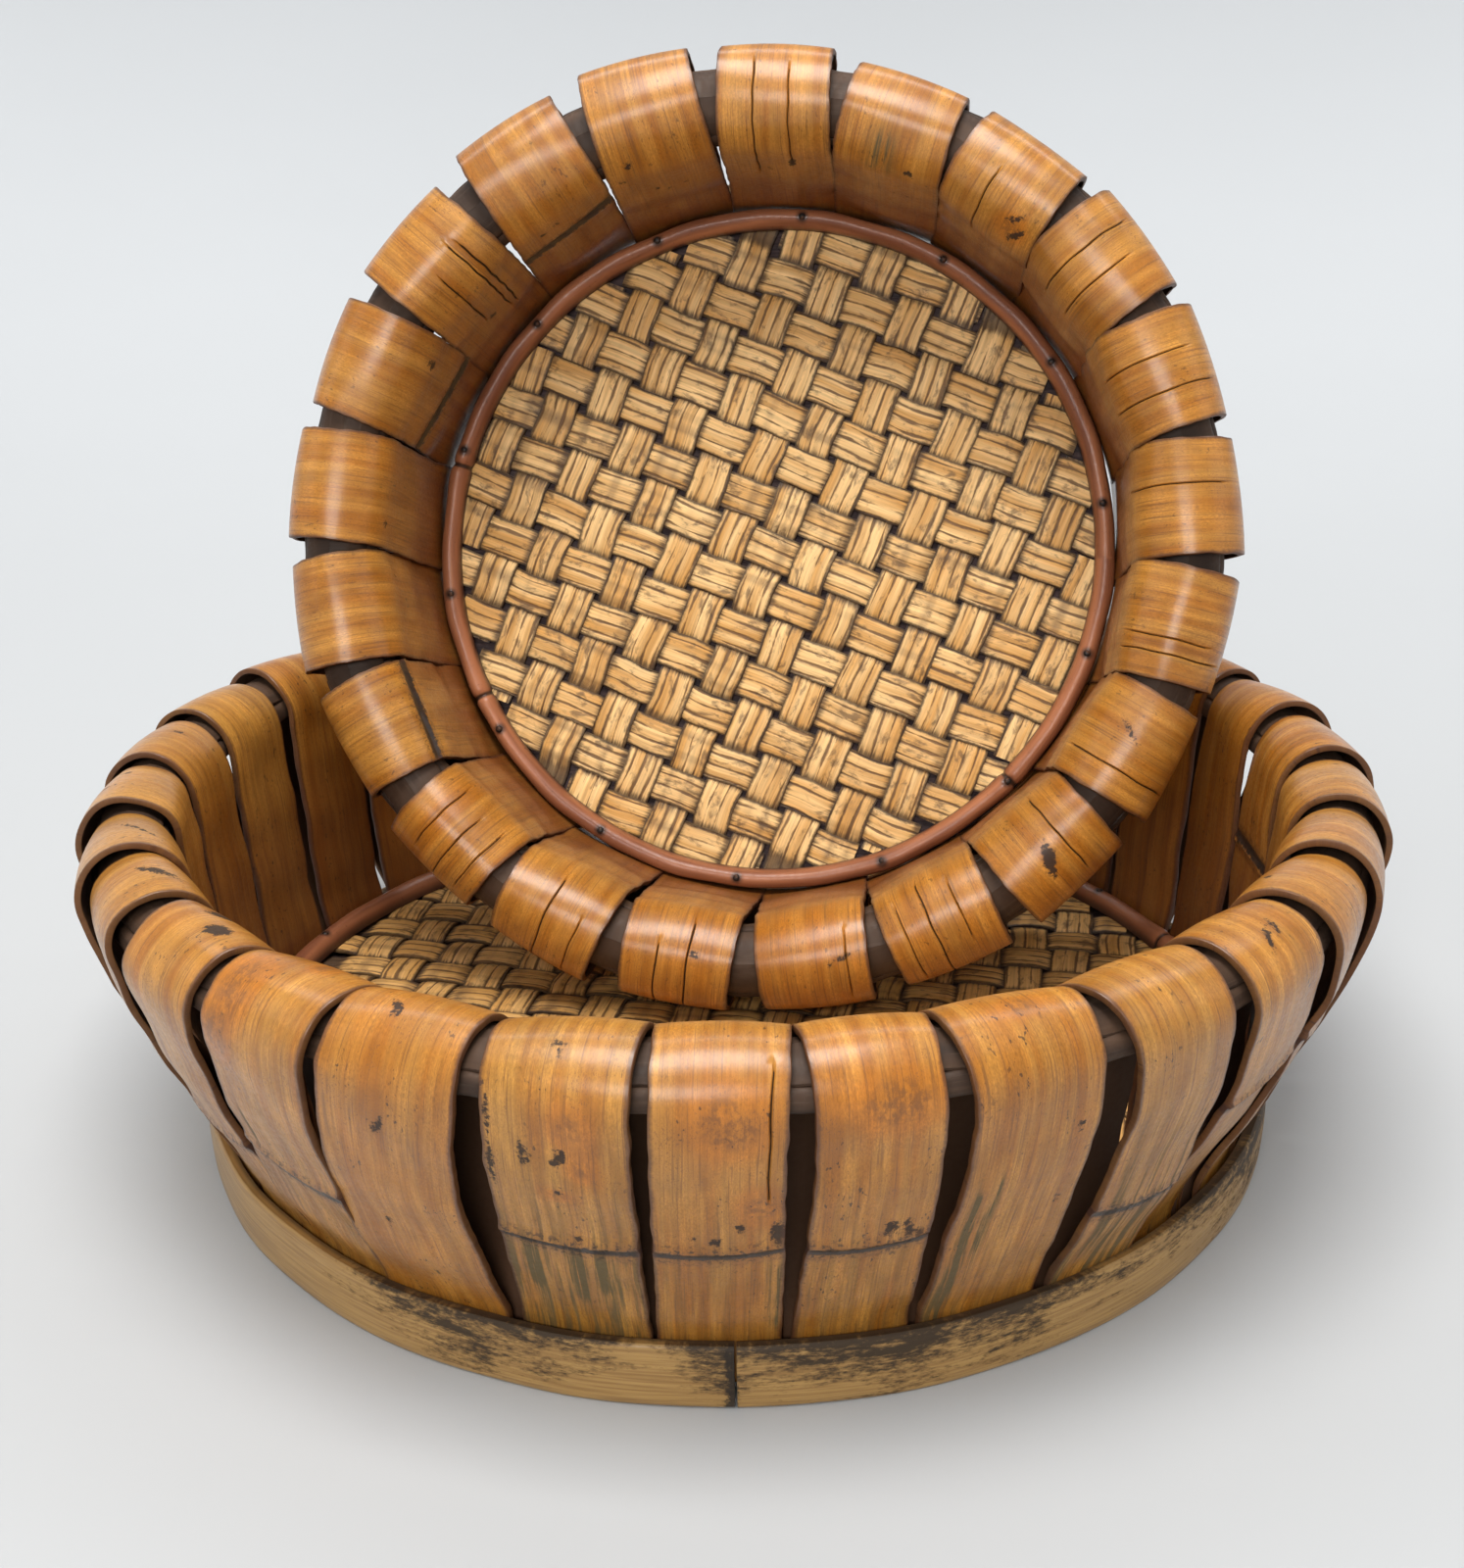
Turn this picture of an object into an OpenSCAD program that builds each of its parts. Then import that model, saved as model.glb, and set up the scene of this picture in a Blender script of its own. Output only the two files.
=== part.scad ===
// A pair of bent-split bamboo baskets: a large one standing on its foot ring, and a
// smaller one of the same make standing on its side in it, leaning on its back rim.
// Each basket is a ring of broad bamboo slats, bent over a hoop at the rim and pinned
// between a base board and a foot ring, with a woven mat held down by a round cane.
// Millimetres, +Z up, the large foot ring stands on Z = 0.

/* [Large basket] */
// outside diameter of the large foot ring
large_foot_d = 270; // [230:1:330]
// outside diameter over the large rolled rim
large_rim_d = 312; // [265:1:380]
// height of the large basket
large_h = 92; // [76:1:112]
// radius of the roll that the large slats make over the rim
large_roll_r = 12; // [10:0.5:15]

/* [Small basket] */
// outside diameter of the small foot ring
small_foot_d = 208; // [175:1:212]
// outside diameter over the small rolled rim
small_rim_d = 248; // [228:1:252]
// height of the small basket
small_h = 72; // [60:0.5:86]
// radius of the roll that the small slats make over the rim
small_roll_r = 13.5; // [11:0.5:16]
// turn of the small basket about the large one's upright axis, in degrees
small_turn = -4.2; // [-20:0.1:20]

/* [Slats] */
// thickness of a bamboo slat
slat_t = 1.8; // [1.4:0.1:2.2]
// gap between neighbouring slats where they are closest
slat_gap = 0.4; // [0.3:0.1:2]
// how much closer the large slats stand at the front than on average
uneven = 3.4; // [0:0.1:4]

/* [Foot ring and hoops] */
// height of a foot ring
ring_h = 15; // [12:0.5:18]
// thickness of a foot ring
ring_t = 3; // [2.4:0.1:4]
// height of the half-round hoop under the rolled slats, both of its strips together
hoop_h = 9.5; // [6:0.5:10]
// clearance between that hoop and the roll of the slats
hoop_room = 1.6; // [0.5:0.1:2]

/* [Base and mat] */
// height of the base board's underside above the foot
board_z = 8; // [5:0.5:9]
// thickness of the base board
board_t = 3.7; // [3:0.1:5]
// width of one flat splint of the woven mat
splint_w = 10.4; // [8:0.1:11]
// distance from one splint to the next
splint_pitch = 12.1; // [11.5:0.1:14]
// thickness of one splint
splint_t = 1.2; // [0.8:0.1:1.5]
// turn of the large basket's weave, in degrees
large_weave_turn = -8; // [-45:1:45]
// turn of the small basket's weave, in degrees
small_weave_turn = -20; // [-45:1:45]
// width of the cane that holds the mat's edge
cane_w = 6; // [5:0.5:7]
// height of the cane
cane_h = 4.6; // [4:0.1:5.5]

/* [Fits] */
// clearance between pieces that sit side by side
fit_gap = 0.2; // [0.1:0.05:0.4]
// clearance between the two baskets where they lean on each other
lean_gap = 0.6; // [0.4:0.1:1.5]

/* [Hidden] */
$fn = 96;
bamboo = [0.80, 0.55, 0.27];
bamboo_deep = [0.72, 0.47, 0.22];
ring_tan = [0.67, 0.55, 0.34];
splint_tan = [0.80, 0.66, 0.43];
splint_dark = [0.66, 0.50, 0.30];
board_dark = [0.17, 0.12, 0.11];
hoop_dark = [0.22, 0.16, 0.13];
cane_red = [0.44, 0.24, 0.14];
tack_dark = [0.12, 0.11, 0.10];

large_n = 30;
large_seen = 21;
small_n = 21;
large_phase = 272.6;
small_phase = 90.3;
joint_a = 273.6;
tack_n = 14;
roll_steps = 16;
leg_steps = 12;

// One basket is described by the vector b:
// [foot radius, rim radius, height, roll radius, closest pitch in degrees, turn of the weave]
function foot_r(b) = b[0];
function roll_r(b) = b[3];
function roll_c(b) = b[1] - b[3];
function roll_z(b) = b[2] - b[3];
function slat_pitch(b) = b[4];
function weave_turn(b) = b[5];

// Sloping legs are thicker when measured level, so the two legs of a slat need more
// than the plain clearance between them where they part above the foot ring.
function leg_rise(b) = roll_z(b) - ring_h;
function outer_slope(b) = 1.3 * (roll_c(b) + roll_r(b) - out_face(b)) / leg_rise(b);
function inner_slope(b) = (roll_c(b) - roll_r(b) - out_face(b) + 2 * slat_t) / leg_rise(b);
function extra(slope) = slat_t / 2 * (sqrt(1 + slope * slope) - 1);
function leg_gap(b) = fit_gap + extra(outer_slope(b)) + extra(inner_slope(b));

// The outer leg's flat outer face stays inside the round foot ring at its corners.
function slot_r(b) = foot_r(b) - ring_t - fit_gap;
function face_guess(b) = (slot_r(b) - 2 * slat_t - fit_gap) * 2 * tan(slat_pitch(b) / 2);
function out_face(b) = sqrt(slot_r(b) * slot_r(b) - face_guess(b) * face_guess(b) / 4);
function in_face(b) = out_face(b) - 2 * slat_t - leg_gap(b);
function slat_w(b) = 2 * in_face(b) * tan(slat_pitch(b) / 2) - slat_gap;
function board_r(b) = in_face(b) - fit_gap;
function mat_r(b) = board_r(b) - 1;
function cane_r(b) = in_face(b) - fit_gap - cane_w / 2;
mat_z = board_z + board_t;
mat_top = mat_z + 2 * splint_t;

// Closest pitch of the large slats: the spacing a + 12 k - uneven sin(12 k) is
// tightest at the front, where its slope is 1 - uneven in radians.
function turn_of(k) = 360 / large_n * k;
function large_a(k) = large_phase + turn_of(k) - uneven * sin(turn_of(k));
function small_a(i) = small_phase - 360 / small_n * (i - 1);
large_pitch = 360 / large_n * (1 - uneven * PI / 180);

large = [large_foot_d / 2, large_rim_d / 2, large_h, large_roll_r, large_pitch,
    large_weave_turn];
small = [small_foot_d / 2, small_rim_d / 2, small_h, small_roll_r, 360 / small_n,
    small_weave_turn];

// Middle line of a bent slat in its own upright plane, as [distance out, height]:
// up the inner leg, over the roll, down the outer leg, which swings in by the power
// 1.3 of the way down, and straight down behind the foot ring.
leg_end = 3.6;
function inner_line(b) = [for (k = [0:3])
    let (s = k / 4, z0 = ring_h, z1 = roll_z(b), r0 = in_face(b) + slat_t / 2,
         r1 = roll_c(b) - roll_r(b) + slat_t / 2)
    [r0 + (r1 - r0) * s, z0 + (z1 - z0) * s]];
function roll_line(b) = [for (k = [0:roll_steps])
    let (a = 180 - 180 * k / roll_steps, r = roll_r(b) - slat_t / 2)
    [roll_c(b) + r * cos(a), roll_z(b) + r * sin(a)]];
function outer_line(b) = [for (k = [1:leg_steps])
    let (s = k / leg_steps, r0 = roll_c(b) + roll_r(b) - slat_t / 2,
         r1 = out_face(b) - slat_t / 2)
    [r0 - (r0 - r1) * pow(s, 1.3), roll_z(b) + (ring_h - roll_z(b)) * s]];
function slat_line(b) = concat(
    [[in_face(b) + slat_t / 2, leg_end]], inner_line(b), roll_line(b), outer_line(b),
    [[out_face(b) - slat_t / 2, leg_end]]);
function unit(v) = v / norm(v);
function side(p, i) = let (
    n = len(p) - 1,
    d = unit(unit(p[min(i + 1, n)] - p[i == n ? n - 1 : i])
           + unit(p[i == 0 ? 1 : i] - p[max(i - 1, 0)])))
    [-d[1], d[0]];
function slat_outline(b) = let (p = slat_line(b), n = len(p) - 1) concat(
    [for (i = [0:n]) p[i] + side(p, i) * slat_t / 2],
    [for (i = [n:-1:0]) p[i] - side(p, i) * slat_t / 2]);

// Standing on its side, the small basket touches the mat with its foot ring and with
// its rolled rim, which fixes how far it leans back.
small_corner_r = norm([small_rim_d / 2, slat_w(small) / 2]) - small_roll_r;
wide_step = small_corner_r - foot_r(small);
lean = atan2(wide_step, roll_z(small)) + asin(small_roll_r / norm([wide_step, roll_z(small)]));
seat_z = mat_top + lean_gap + foot_r(small) * cos(lean);
// It then slides back until it meets the large basket. The large wall's free radius at
// the height h, less the clearance, is wall_in(h). A round edge of the small basket,
// of radius r at the height z of its own, crosses the height h at edge_drop of the way
// down from its middle, and seat_at is how far back the basket may then sit.
function wall_in(h) = h > roll_z(large)
    ? roll_c(large) - lean_gap
      - sqrt(max(0, pow(roll_r(large), 2) - pow(h - roll_z(large), 2)))
    : in_face(large) - lean_gap + (roll_c(large) - roll_r(large) - in_face(large))
      * (h - ring_h) / (roll_z(large) - ring_h);
function edge_drop(r, z, h) = (seat_z + z * sin(lean) - h) / (r * cos(lean));
function seat_at(r, z, h) = let (d = edge_drop(r, z, h))
    abs(d) > 1 ? large_rim_d
    : z * cos(lean) + r * d * sin(lean)
      + sqrt(max(0, pow(wall_in(h), 2) - pow(r, 2) * (1 - pow(d, 2))));
small_edges = [[foot_r(small), 0], [foot_r(small), ring_h],
    [small_corner_r + roll_r(small), roll_z(small)]];
cane_top = mat_top + cane_h;
seat_y = min([for (e = small_edges, k = [0:40])
    seat_at(e[0], e[1], cane_top + (large_h - 0.5 - cane_top) * k / 40)]);

large_names = [for (i = [1:large_seen]) str("large_slat_", two(i))];
back_names = [for (i = [1:3]) str("large_back_slats_", i)];
small_names = [for (i = [1:small_n]) str("small_slat_", two(i))];
function two(i) = i < 10 ? str("0", i) : str(i);

module in_small() {
    rotate([0, 0, small_turn])
        translate([0, seat_y, seat_z])
            rotate([90 - lean, 0, 0]) children();
}

// A flat strip of bamboo bent over the rim, standing at the angle a.
module slat(b, a) {
    rotate([0, 0, a])
        rotate([90, 0, 0])
            linear_extrude(height = slat_w(b), center = true)
                polygon(slat_outline(b));
}

// A strip bent to a circle, its two ends meeting at the angle a.
module strip_ring(r, t, z, h, a) {
    open = 40 / r;
    rotate([0, 0, a + open / 2])
        rotate_extrude(angle = 360 - open)
            translate([r - t, z])
                polygon([[0, 0], [t - 0.5, 0], [t, 0.5], [t, h - 0.5], [t - 0.5, h], [0, h]]);
}

// Two strips one above the other in the roll of the slats, together a half-round hoop.
// Each is the part of a round rod between the heights low and high above its middle.
function hoop_r(b) = roll_r(b) - slat_t - hoop_room;
module hoop_strip(b, low, high, a) {
    r = hoop_r(b);
    open = 40 / roll_c(b);
    side = [for (k = [0:8]) let (z = low + (high - low) * k / 8)
        [sqrt(max(0.04, r * r - z * z)), z]];
    rotate([0, 0, a + open / 2])
        rotate_extrude(angle = 360 - open)
            translate([roll_c(b), roll_z(b)])
                polygon(concat(side, [for (k = [8:-1:0]) [-side[k][0], side[k][1]]]));
}

module rim_hoop(b) {
    r = hoop_r(b);
    seam = r - hoop_h / 2;
    hoop_strip(b, r - hoop_h, seam - fit_gap / 2, 200);
    hoop_strip(b, seam + fit_gap / 2, r, 20);
}

module base_board(b) {
    translate([0, 0, board_z]) cylinder(r = board_r(b), h = board_t);
}

// One splint of the mat, going over and under the ones across it. The splints across
// stand at whole steps of the pitch, and odd and even splints go opposite ways.
module splint(b, y, odd) {
    reach = sqrt(max(0, pow(mat_r(b), 2) - pow(abs(y) + splint_w / 2, 2)));
    n = ceil(reach / splint_pitch);
    flat = splint_w / 2;
    // heights of the crossings: the one at step k lies high when k + odd is even
    up = function(k) ((k + odd) % 2 == 0) ? 0 : -splint_t;
    steps = [for (k = [-n:n], s = [-1, 1]) [k * splint_pitch + s * flat, up(abs(k))]];
    kept = [for (p = steps) if (abs(p[0]) < reach - 0.4) p];
    ends = [[-reach, kept[0][1]], [reach, kept[len(kept) - 1][1]]];
    low = concat([ends[0]], kept, [ends[1]]);
    line = concat(low, [for (i = [len(low) - 1:-1:0]) low[i] + [0, splint_t]]);
    if (reach > splint_pitch)
        translate([0, y, mat_z + splint_t])
            rotate([90, 0, 0])
                linear_extrude(height = splint_w, center = true)
                    polygon(line);
}

module mat_layer(b, across) {
    n = floor((mat_r(b) - splint_w / 2) / splint_pitch);
    rotate([0, 0, weave_turn(b) + across * 90])
        for (k = [-n:n]) splint(b, k * splint_pitch, (abs(k) + across) % 2);
}

// Half-round cane that holds the edge of the mat.
module cane(b) {
    rotate_extrude()
        translate([cane_r(b), mat_top])
            polygon([for (k = [0:10]) [cane_w / 2 * cos(18 * k), cane_h * pow(sin(18 * k), 0.8)]]);
}

module tacks(b) {
    for (k = [0:tack_n - 1])
        rotate([0, 0, 360 / tack_n * k + 9])
            translate([cane_r(b), 0, mat_top + cane_h - 2]) cylinder(r = 0.9, h = 2.3);
}

module large_foot_ring() {
    color(ring_tan) strip_ring(foot_r(large), ring_t, 0, ring_h, joint_a);
}
module large_rim_hoop() {
    color(hoop_dark) rim_hoop(large);
}
module large_base_board() {
    color(board_dark) base_board(large);
}
module large_mat_warp() {
    color(splint_dark) mat_layer(large, 0);
}
module large_mat_weft() {
    color(splint_tan) mat_layer(large, 1);
}
module large_cane() {
    color(cane_red) cane(large);
}
module large_tacks() {
    color(tack_dark) tacks(large);
}
module large_slat(i) {
    color(bamboo) slat(large, large_a(i - 1 - (large_seen - 1) / 2));
}
module large_back_slats(i) {
    color(bamboo_deep)
        for (k = [0:2]) slat(large, large_a((large_seen + 1) / 2 + 3 * (i - 1) + k));
}
module small_foot_ring() {
    color(ring_tan) in_small() strip_ring(foot_r(small), ring_t, 0, ring_h, 250);
}
module small_rim_hoop() {
    color(hoop_dark) in_small() rim_hoop(small);
}
module small_base_board() {
    color(board_dark) in_small() base_board(small);
}
module small_mat_warp() {
    color(splint_dark) in_small() mat_layer(small, 0);
}
module small_mat_weft() {
    color(splint_tan) in_small() mat_layer(small, 1);
}
module small_cane() {
    color(cane_red) in_small() cane(small);
}
module small_tacks() {
    color(tack_dark) in_small() tacks(small);
}
module small_slat(i) {
    color(bamboo) in_small() slat(small, small_a(i));
}

large_foot_ring();
large_rim_hoop();
large_base_board();
large_mat_warp();
large_mat_weft();
large_cane();
large_tacks();
for (i = [1:large_seen])
    large_slat(i);
for (i = [1:3])
    large_back_slats(i);
small_foot_ring();
small_rim_hoop();
small_base_board();
small_mat_warp();
small_mat_weft();
small_cane();
small_tacks();
for (i = [1:small_n])
    small_slat(i);
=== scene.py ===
import bpy
import math
import numpy as np
from mathutils import Matrix, Vector


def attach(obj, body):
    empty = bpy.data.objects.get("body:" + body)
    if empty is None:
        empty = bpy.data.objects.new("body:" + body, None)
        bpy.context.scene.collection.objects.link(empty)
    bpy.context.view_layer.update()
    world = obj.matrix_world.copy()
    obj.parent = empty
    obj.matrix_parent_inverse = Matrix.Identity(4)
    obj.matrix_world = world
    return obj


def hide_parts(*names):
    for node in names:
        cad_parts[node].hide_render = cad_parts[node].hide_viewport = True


# Looks of a pair of bamboo baskets: a large one on its foot ring and a small one that
# stands on its side in it. Sizes here are in millimetres; meshes are made in metres.

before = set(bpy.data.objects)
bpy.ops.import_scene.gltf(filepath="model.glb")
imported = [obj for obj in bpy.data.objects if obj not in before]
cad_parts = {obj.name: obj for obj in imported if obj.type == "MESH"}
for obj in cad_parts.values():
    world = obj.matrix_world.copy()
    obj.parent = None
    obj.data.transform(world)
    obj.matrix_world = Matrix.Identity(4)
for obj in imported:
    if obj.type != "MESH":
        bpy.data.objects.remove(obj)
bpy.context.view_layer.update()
chance = np.random.default_rng(41)

camera = {"at": (32.3, -437.7, 258.9), "right": (0.99764248, 0.06634804, -0.01753323),
          "up": (-0.00883719, 0.37757032, 0.92593874),
          "ahead": (-0.06805424, 0.92360088, -0.37726652), "lens": 43.6}


def makeCamera(view):
    data = bpy.data.cameras.new("viewCamera")
    data.sensor_width = 36.0
    data.lens = view["lens"]
    data.clip_end = 50.0
    seen = bpy.data.objects.new("viewCamera", data)
    columns = [view["right"], view["up"], tuple(-x for x in view["ahead"])]
    turn = Matrix([[columns[c][r] for c in range(3)] for r in range(3)]).to_4x4()
    seen.matrix_world = Matrix.Translation(Vector(view["at"]) * 0.001) @ turn
    bpy.context.scene.collection.objects.link(seen)
    bpy.context.scene.camera = seen


makeCamera(camera)

largeBasket = {"tag": "large", "body": "large_basket", "footR": 135.0, "rimR": 156.0,
               "high": 92.0, "rollR": 12.0, "inFace": 127.392, "outFace": 131.192,
               "boardR": 127.192, "matR": 126.19, "caneR": 124.192, "weaveTurn": -8.0,
               "jointAt": 273.6}
smallBasket = {"tag": "small", "body": "small_basket", "footR": 104.0, "rimR": 124.0,
               "high": 72.0, "rollR": 13.5, "inFace": 95.934, "outFace": 99.734,
               "boardR": 95.734, "matR": 94.73, "caneR": 92.734, "weaveTurn": -20.0,
               "jointAt": 250.0}
common = {"slatT": 1.8, "legEnd": 3.6, "ringH": 15.0, "ringT": 3.0, "boardZ": 8.0,
          "matZ": 11.7, "matTop": 14.1}
lean = {"turn": -4.2, "tilt": 20.3669, "seatY": 97.2311, "seatZ": 112.198}
inSmall = (Matrix.Rotation(math.radians(lean["turn"]), 4, "Z")
           @ Matrix.Translation((0, lean["seatY"], lean["seatZ"]))
           @ Matrix.Rotation(math.radians(90 - lean["tilt"]), 4, "X"))


def placed(basket, points):
    flat = points.reshape(-1, 3)
    if basket["tag"] == "small":
        turn = np.array(inSmall)
        flat = flat @ turn[:3, :3].T + turn[:3, 3]
    return flat * 0.001


def meshOf(name, basket, points, closed=False, fields=None, material=None, sharp=45):
    # points: rows x ring x 3. Each row is a closed loop, joined to the next row;
    # closed joins the last row to the first, otherwise both ends get a flat face.
    rows, ring = points.shape[:2]
    index = np.arange(rows * ring).reshape(rows, ring)
    after = np.roll(index, -1, axis=1)
    here, there = (index, np.roll(index, -1, axis=0)) if closed else (index[:-1], index[1:])
    hereNext, thereNext = ((after, np.roll(after, -1, axis=0)) if closed
                           else (after[:-1], after[1:]))
    quads = np.stack([here, hereNext, thereNext, there], axis=-1).reshape(-1, 4)
    flat = placed(basket, points)
    a, b, c, d = (flat[quads[:, k]] for k in range(4))
    middle = flat.mean(axis=0)
    volume = (np.einsum("ij,ij->i", a - middle, np.cross(b - middle, c - middle)).sum()
              + np.einsum("ij,ij->i", a - middle, np.cross(c - middle, d - middle)).sum())
    caps = [] if closed else [index[0][::-1], index[-1]]
    if volume < 0:
        quads = quads[:, ::-1]
        caps = [cap[::-1] for cap in caps]
    loops = np.concatenate([quads.ravel()] + caps) if caps else quads.ravel()
    starts = np.arange(len(quads)) * 4
    if caps:
        starts = np.concatenate([starts, [len(quads) * 4, len(quads) * 4 + ring]])
    mesh = bpy.data.meshes.new(name)
    mesh.vertices.add(len(flat))
    mesh.vertices.foreach_set("co", flat.astype(np.float32).ravel())
    mesh.loops.add(len(loops))
    mesh.loops.foreach_set("vertex_index", loops.astype(np.int32))
    mesh.polygons.add(len(starts))
    mesh.polygons.foreach_set("loop_start", starts.astype(np.int32))
    mesh.update(calc_edges=True)
    mesh.validate()
    mesh.polygons.foreach_set("use_smooth", np.ones(len(starts), bool))
    mesh.set_sharp_from_angle(angle=math.radians(sharp))
    for key, value in (fields or {}).items():
        layer = mesh.attributes.new(key, "FLOAT_VECTOR", "POINT")
        layer.data.foreach_set("vector", value.reshape(-1, 3).astype(np.float32).ravel())
    thing = bpy.data.objects.new(name, mesh)
    bpy.context.scene.collection.objects.link(thing)
    if material is not None:
        mesh.materials.append(material)
    return thing


def joined(name, things):
    # several meshes of one node become one object
    with bpy.context.temp_override(active_object=things[0], object=things[0],
                                   selected_objects=things,
                                   selected_editable_objects=things):
        bpy.ops.object.join()
    things[0].name = name
    things[0].data.name = name
    return things[0]


def finishPiece(thing, basket, node):
    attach(thing, basket["body"])
    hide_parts(node)
    return thing


def smoothNoise(count, length, size, seed):
    # sum of a few sines with chance phases: a slow wander along count samples
    dice = np.random.default_rng(seed)
    s = np.linspace(0, length, count)
    total = np.zeros(count)
    for k in range(1, 6):
        wave = size * dice.uniform(0.7, 1.6) / k
        total += np.sin(2 * math.pi * s / wave + dice.uniform(0, 6.28)) / (6.0 - k)
    return total / 1.6


def unitRows(v):
    return v / np.maximum(np.linalg.norm(v, axis=-1, keepdims=True), 1e-9)


def newGroup(name, vectors, numbers=()):
    # a node group with the named vector inputs, then the numbers, each (label, value)
    tree = bpy.data.node_groups.new(name, "ShaderNodeTree")
    for label in vectors:
        tree.interface.new_socket(label, in_out="INPUT", socket_type="NodeSocketVector")
    for label, value in numbers:
        tree.interface.new_socket(label, in_out="INPUT",
                                  socket_type="NodeSocketFloat").default_value = value
    return tree, tree.nodes.new("NodeGroupInput").outputs


def plug(tree, socket, value):
    if isinstance(value, bpy.types.NodeSocket):
        tree.links.new(value, socket)
    elif isinstance(value, (tuple, list)) and socket.type == "RGBA" and len(value) == 3:
        socket.default_value = (*value, 1.0)
    else:
        socket.default_value = value


def endGroup(tree, **made):
    # one output for each: Colour is a colour, all others are numbers
    for label in made:
        kind = "NodeSocketColor" if label == "Colour" else "NodeSocketFloat"
        tree.interface.new_socket(label, in_out="OUTPUT", socket_type=kind)
    out = tree.nodes.new("NodeGroupOutput")
    for label, socket in made.items():
        tree.links.new(socket, out.inputs[label])
    return tree


def sums(tree, operation, a, b=0.0, c=0.0, clamp=False):
    node = tree.nodes.new("ShaderNodeMath")
    node.operation = operation
    node.use_clamp = clamp
    for socket, value in zip(node.inputs, (a, b, c)):
        plug(tree, socket, value)
    return node.outputs[0]


def times(tree, a, b, clamp=False):
    return sums(tree, "MULTIPLY", a, b, clamp=clamp)


def plus(tree, a, b, clamp=False):
    return sums(tree, "ADD", a, b, clamp=clamp)


def minus(tree, a, b, clamp=False):
    return sums(tree, "SUBTRACT", a, b, clamp=clamp)


def rise(tree, value, low, high, a=0.0, b=1.0):
    node = tree.nodes.new("ShaderNodeMapRange")
    node.interpolation_type = "SMOOTHSTEP"
    for k, v in enumerate((value, low, high, a, b)):
        plug(tree, node.inputs[k], v)
    return node.outputs[0]


def mixed(tree, factor, a, b, how="MIX"):
    node = tree.nodes.new("ShaderNodeMix")
    node.data_type = "RGBA"
    node.blend_type = how
    plug(tree, node.inputs[0], factor)
    plug(tree, node.inputs[6], a)
    plug(tree, node.inputs[7], b)
    return node.outputs[2]


def stretched(tree, vector, x, y, z):
    node = tree.nodes.new("ShaderNodeVectorMath")
    node.operation = "MULTIPLY"
    plug(tree, node.inputs[0], vector)
    node.inputs[1].default_value = (x, y, z)
    return node.outputs[0]


def cloud(tree, vector, scale, detail=3.0, rough=0.55, warp=0.0):
    node = tree.nodes.new("ShaderNodeTexNoise")
    plug(tree, node.inputs["Vector"], vector)
    node.inputs["Scale"].default_value = scale
    node.inputs["Detail"].default_value = detail
    node.inputs["Roughness"].default_value = rough
    node.inputs["Distortion"].default_value = warp
    return node.outputs["Fac"]


def grown(tree, strip, stretch, detail=3.0, rough=0.55, warp=0.0):
    # noise on the strip's own millimetres, stretched along the fibres
    return cloud(tree, stretched(tree, strip, *stretch), 1.0, detail, rough, warp)


def shaded(tree, base, shade):
    # the colour times a grey made from one number
    grey = tree.nodes.new("ShaderNodeCombineColor")
    for k in range(3):
        plug(tree, grey.inputs[k], shade)
    return mixed(tree, 1.0, base, grey.outputs[0], "MULTIPLY")


def apart(tree, vector):
    node = tree.nodes.new("ShaderNodeSeparateXYZ")
    plug(tree, node.inputs[0], vector)
    return node.outputs


def attribute(tree, name):
    node = tree.nodes.new("ShaderNodeAttribute")
    node.attribute_name = name
    return node.outputs["Vector"]


def grainFields(tree, strip):
    # strip holds (across, along, seed) in millimetres: fibres run along
    return {"fibre": grown(tree, strip, (1.6, 0.045, 5.3), 5.0, 0.6),
            "hair": grown(tree, strip, (3.6, 0.035, 9.1), 3.0, 0.5),
            "broad": grown(tree, strip, (0.28, 0.022, 3.7), 3.0, 0.5),
            "patch": grown(tree, strip, (0.10, 0.055, 7.7), 4.0, 0.6, 0.6),
            "fine": grown(tree, strip, (0.85, 0.85, 1.3), 5.0, 0.65)}


# of every material but the floor
finish = {"coatRough": 0.27, "specular": 0.28}
# bamboo skin: honey and olive lacquer with fibres, specks, spots, cracks and a knot line
skinColours = {"light": (0.54, 0.245, 0.043), "deep": (0.36, 0.125, 0.011),
               "orange": (0.50, 0.165, 0.015), "olive": (0.47, 0.245, 0.048),
               "dirt": (0.095, 0.072, 0.030), "black": (0.020, 0.013, 0.010),
               # inner: a dark red-brown used as painted shade on the inner legs
               "rust": (0.170, 0.066, 0.018), "inner": (0.125, 0.034, 0.011),
               "edge": (0.070, 0.026, 0.014),
               "raw": (0.085, 0.045, 0.025)}


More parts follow.
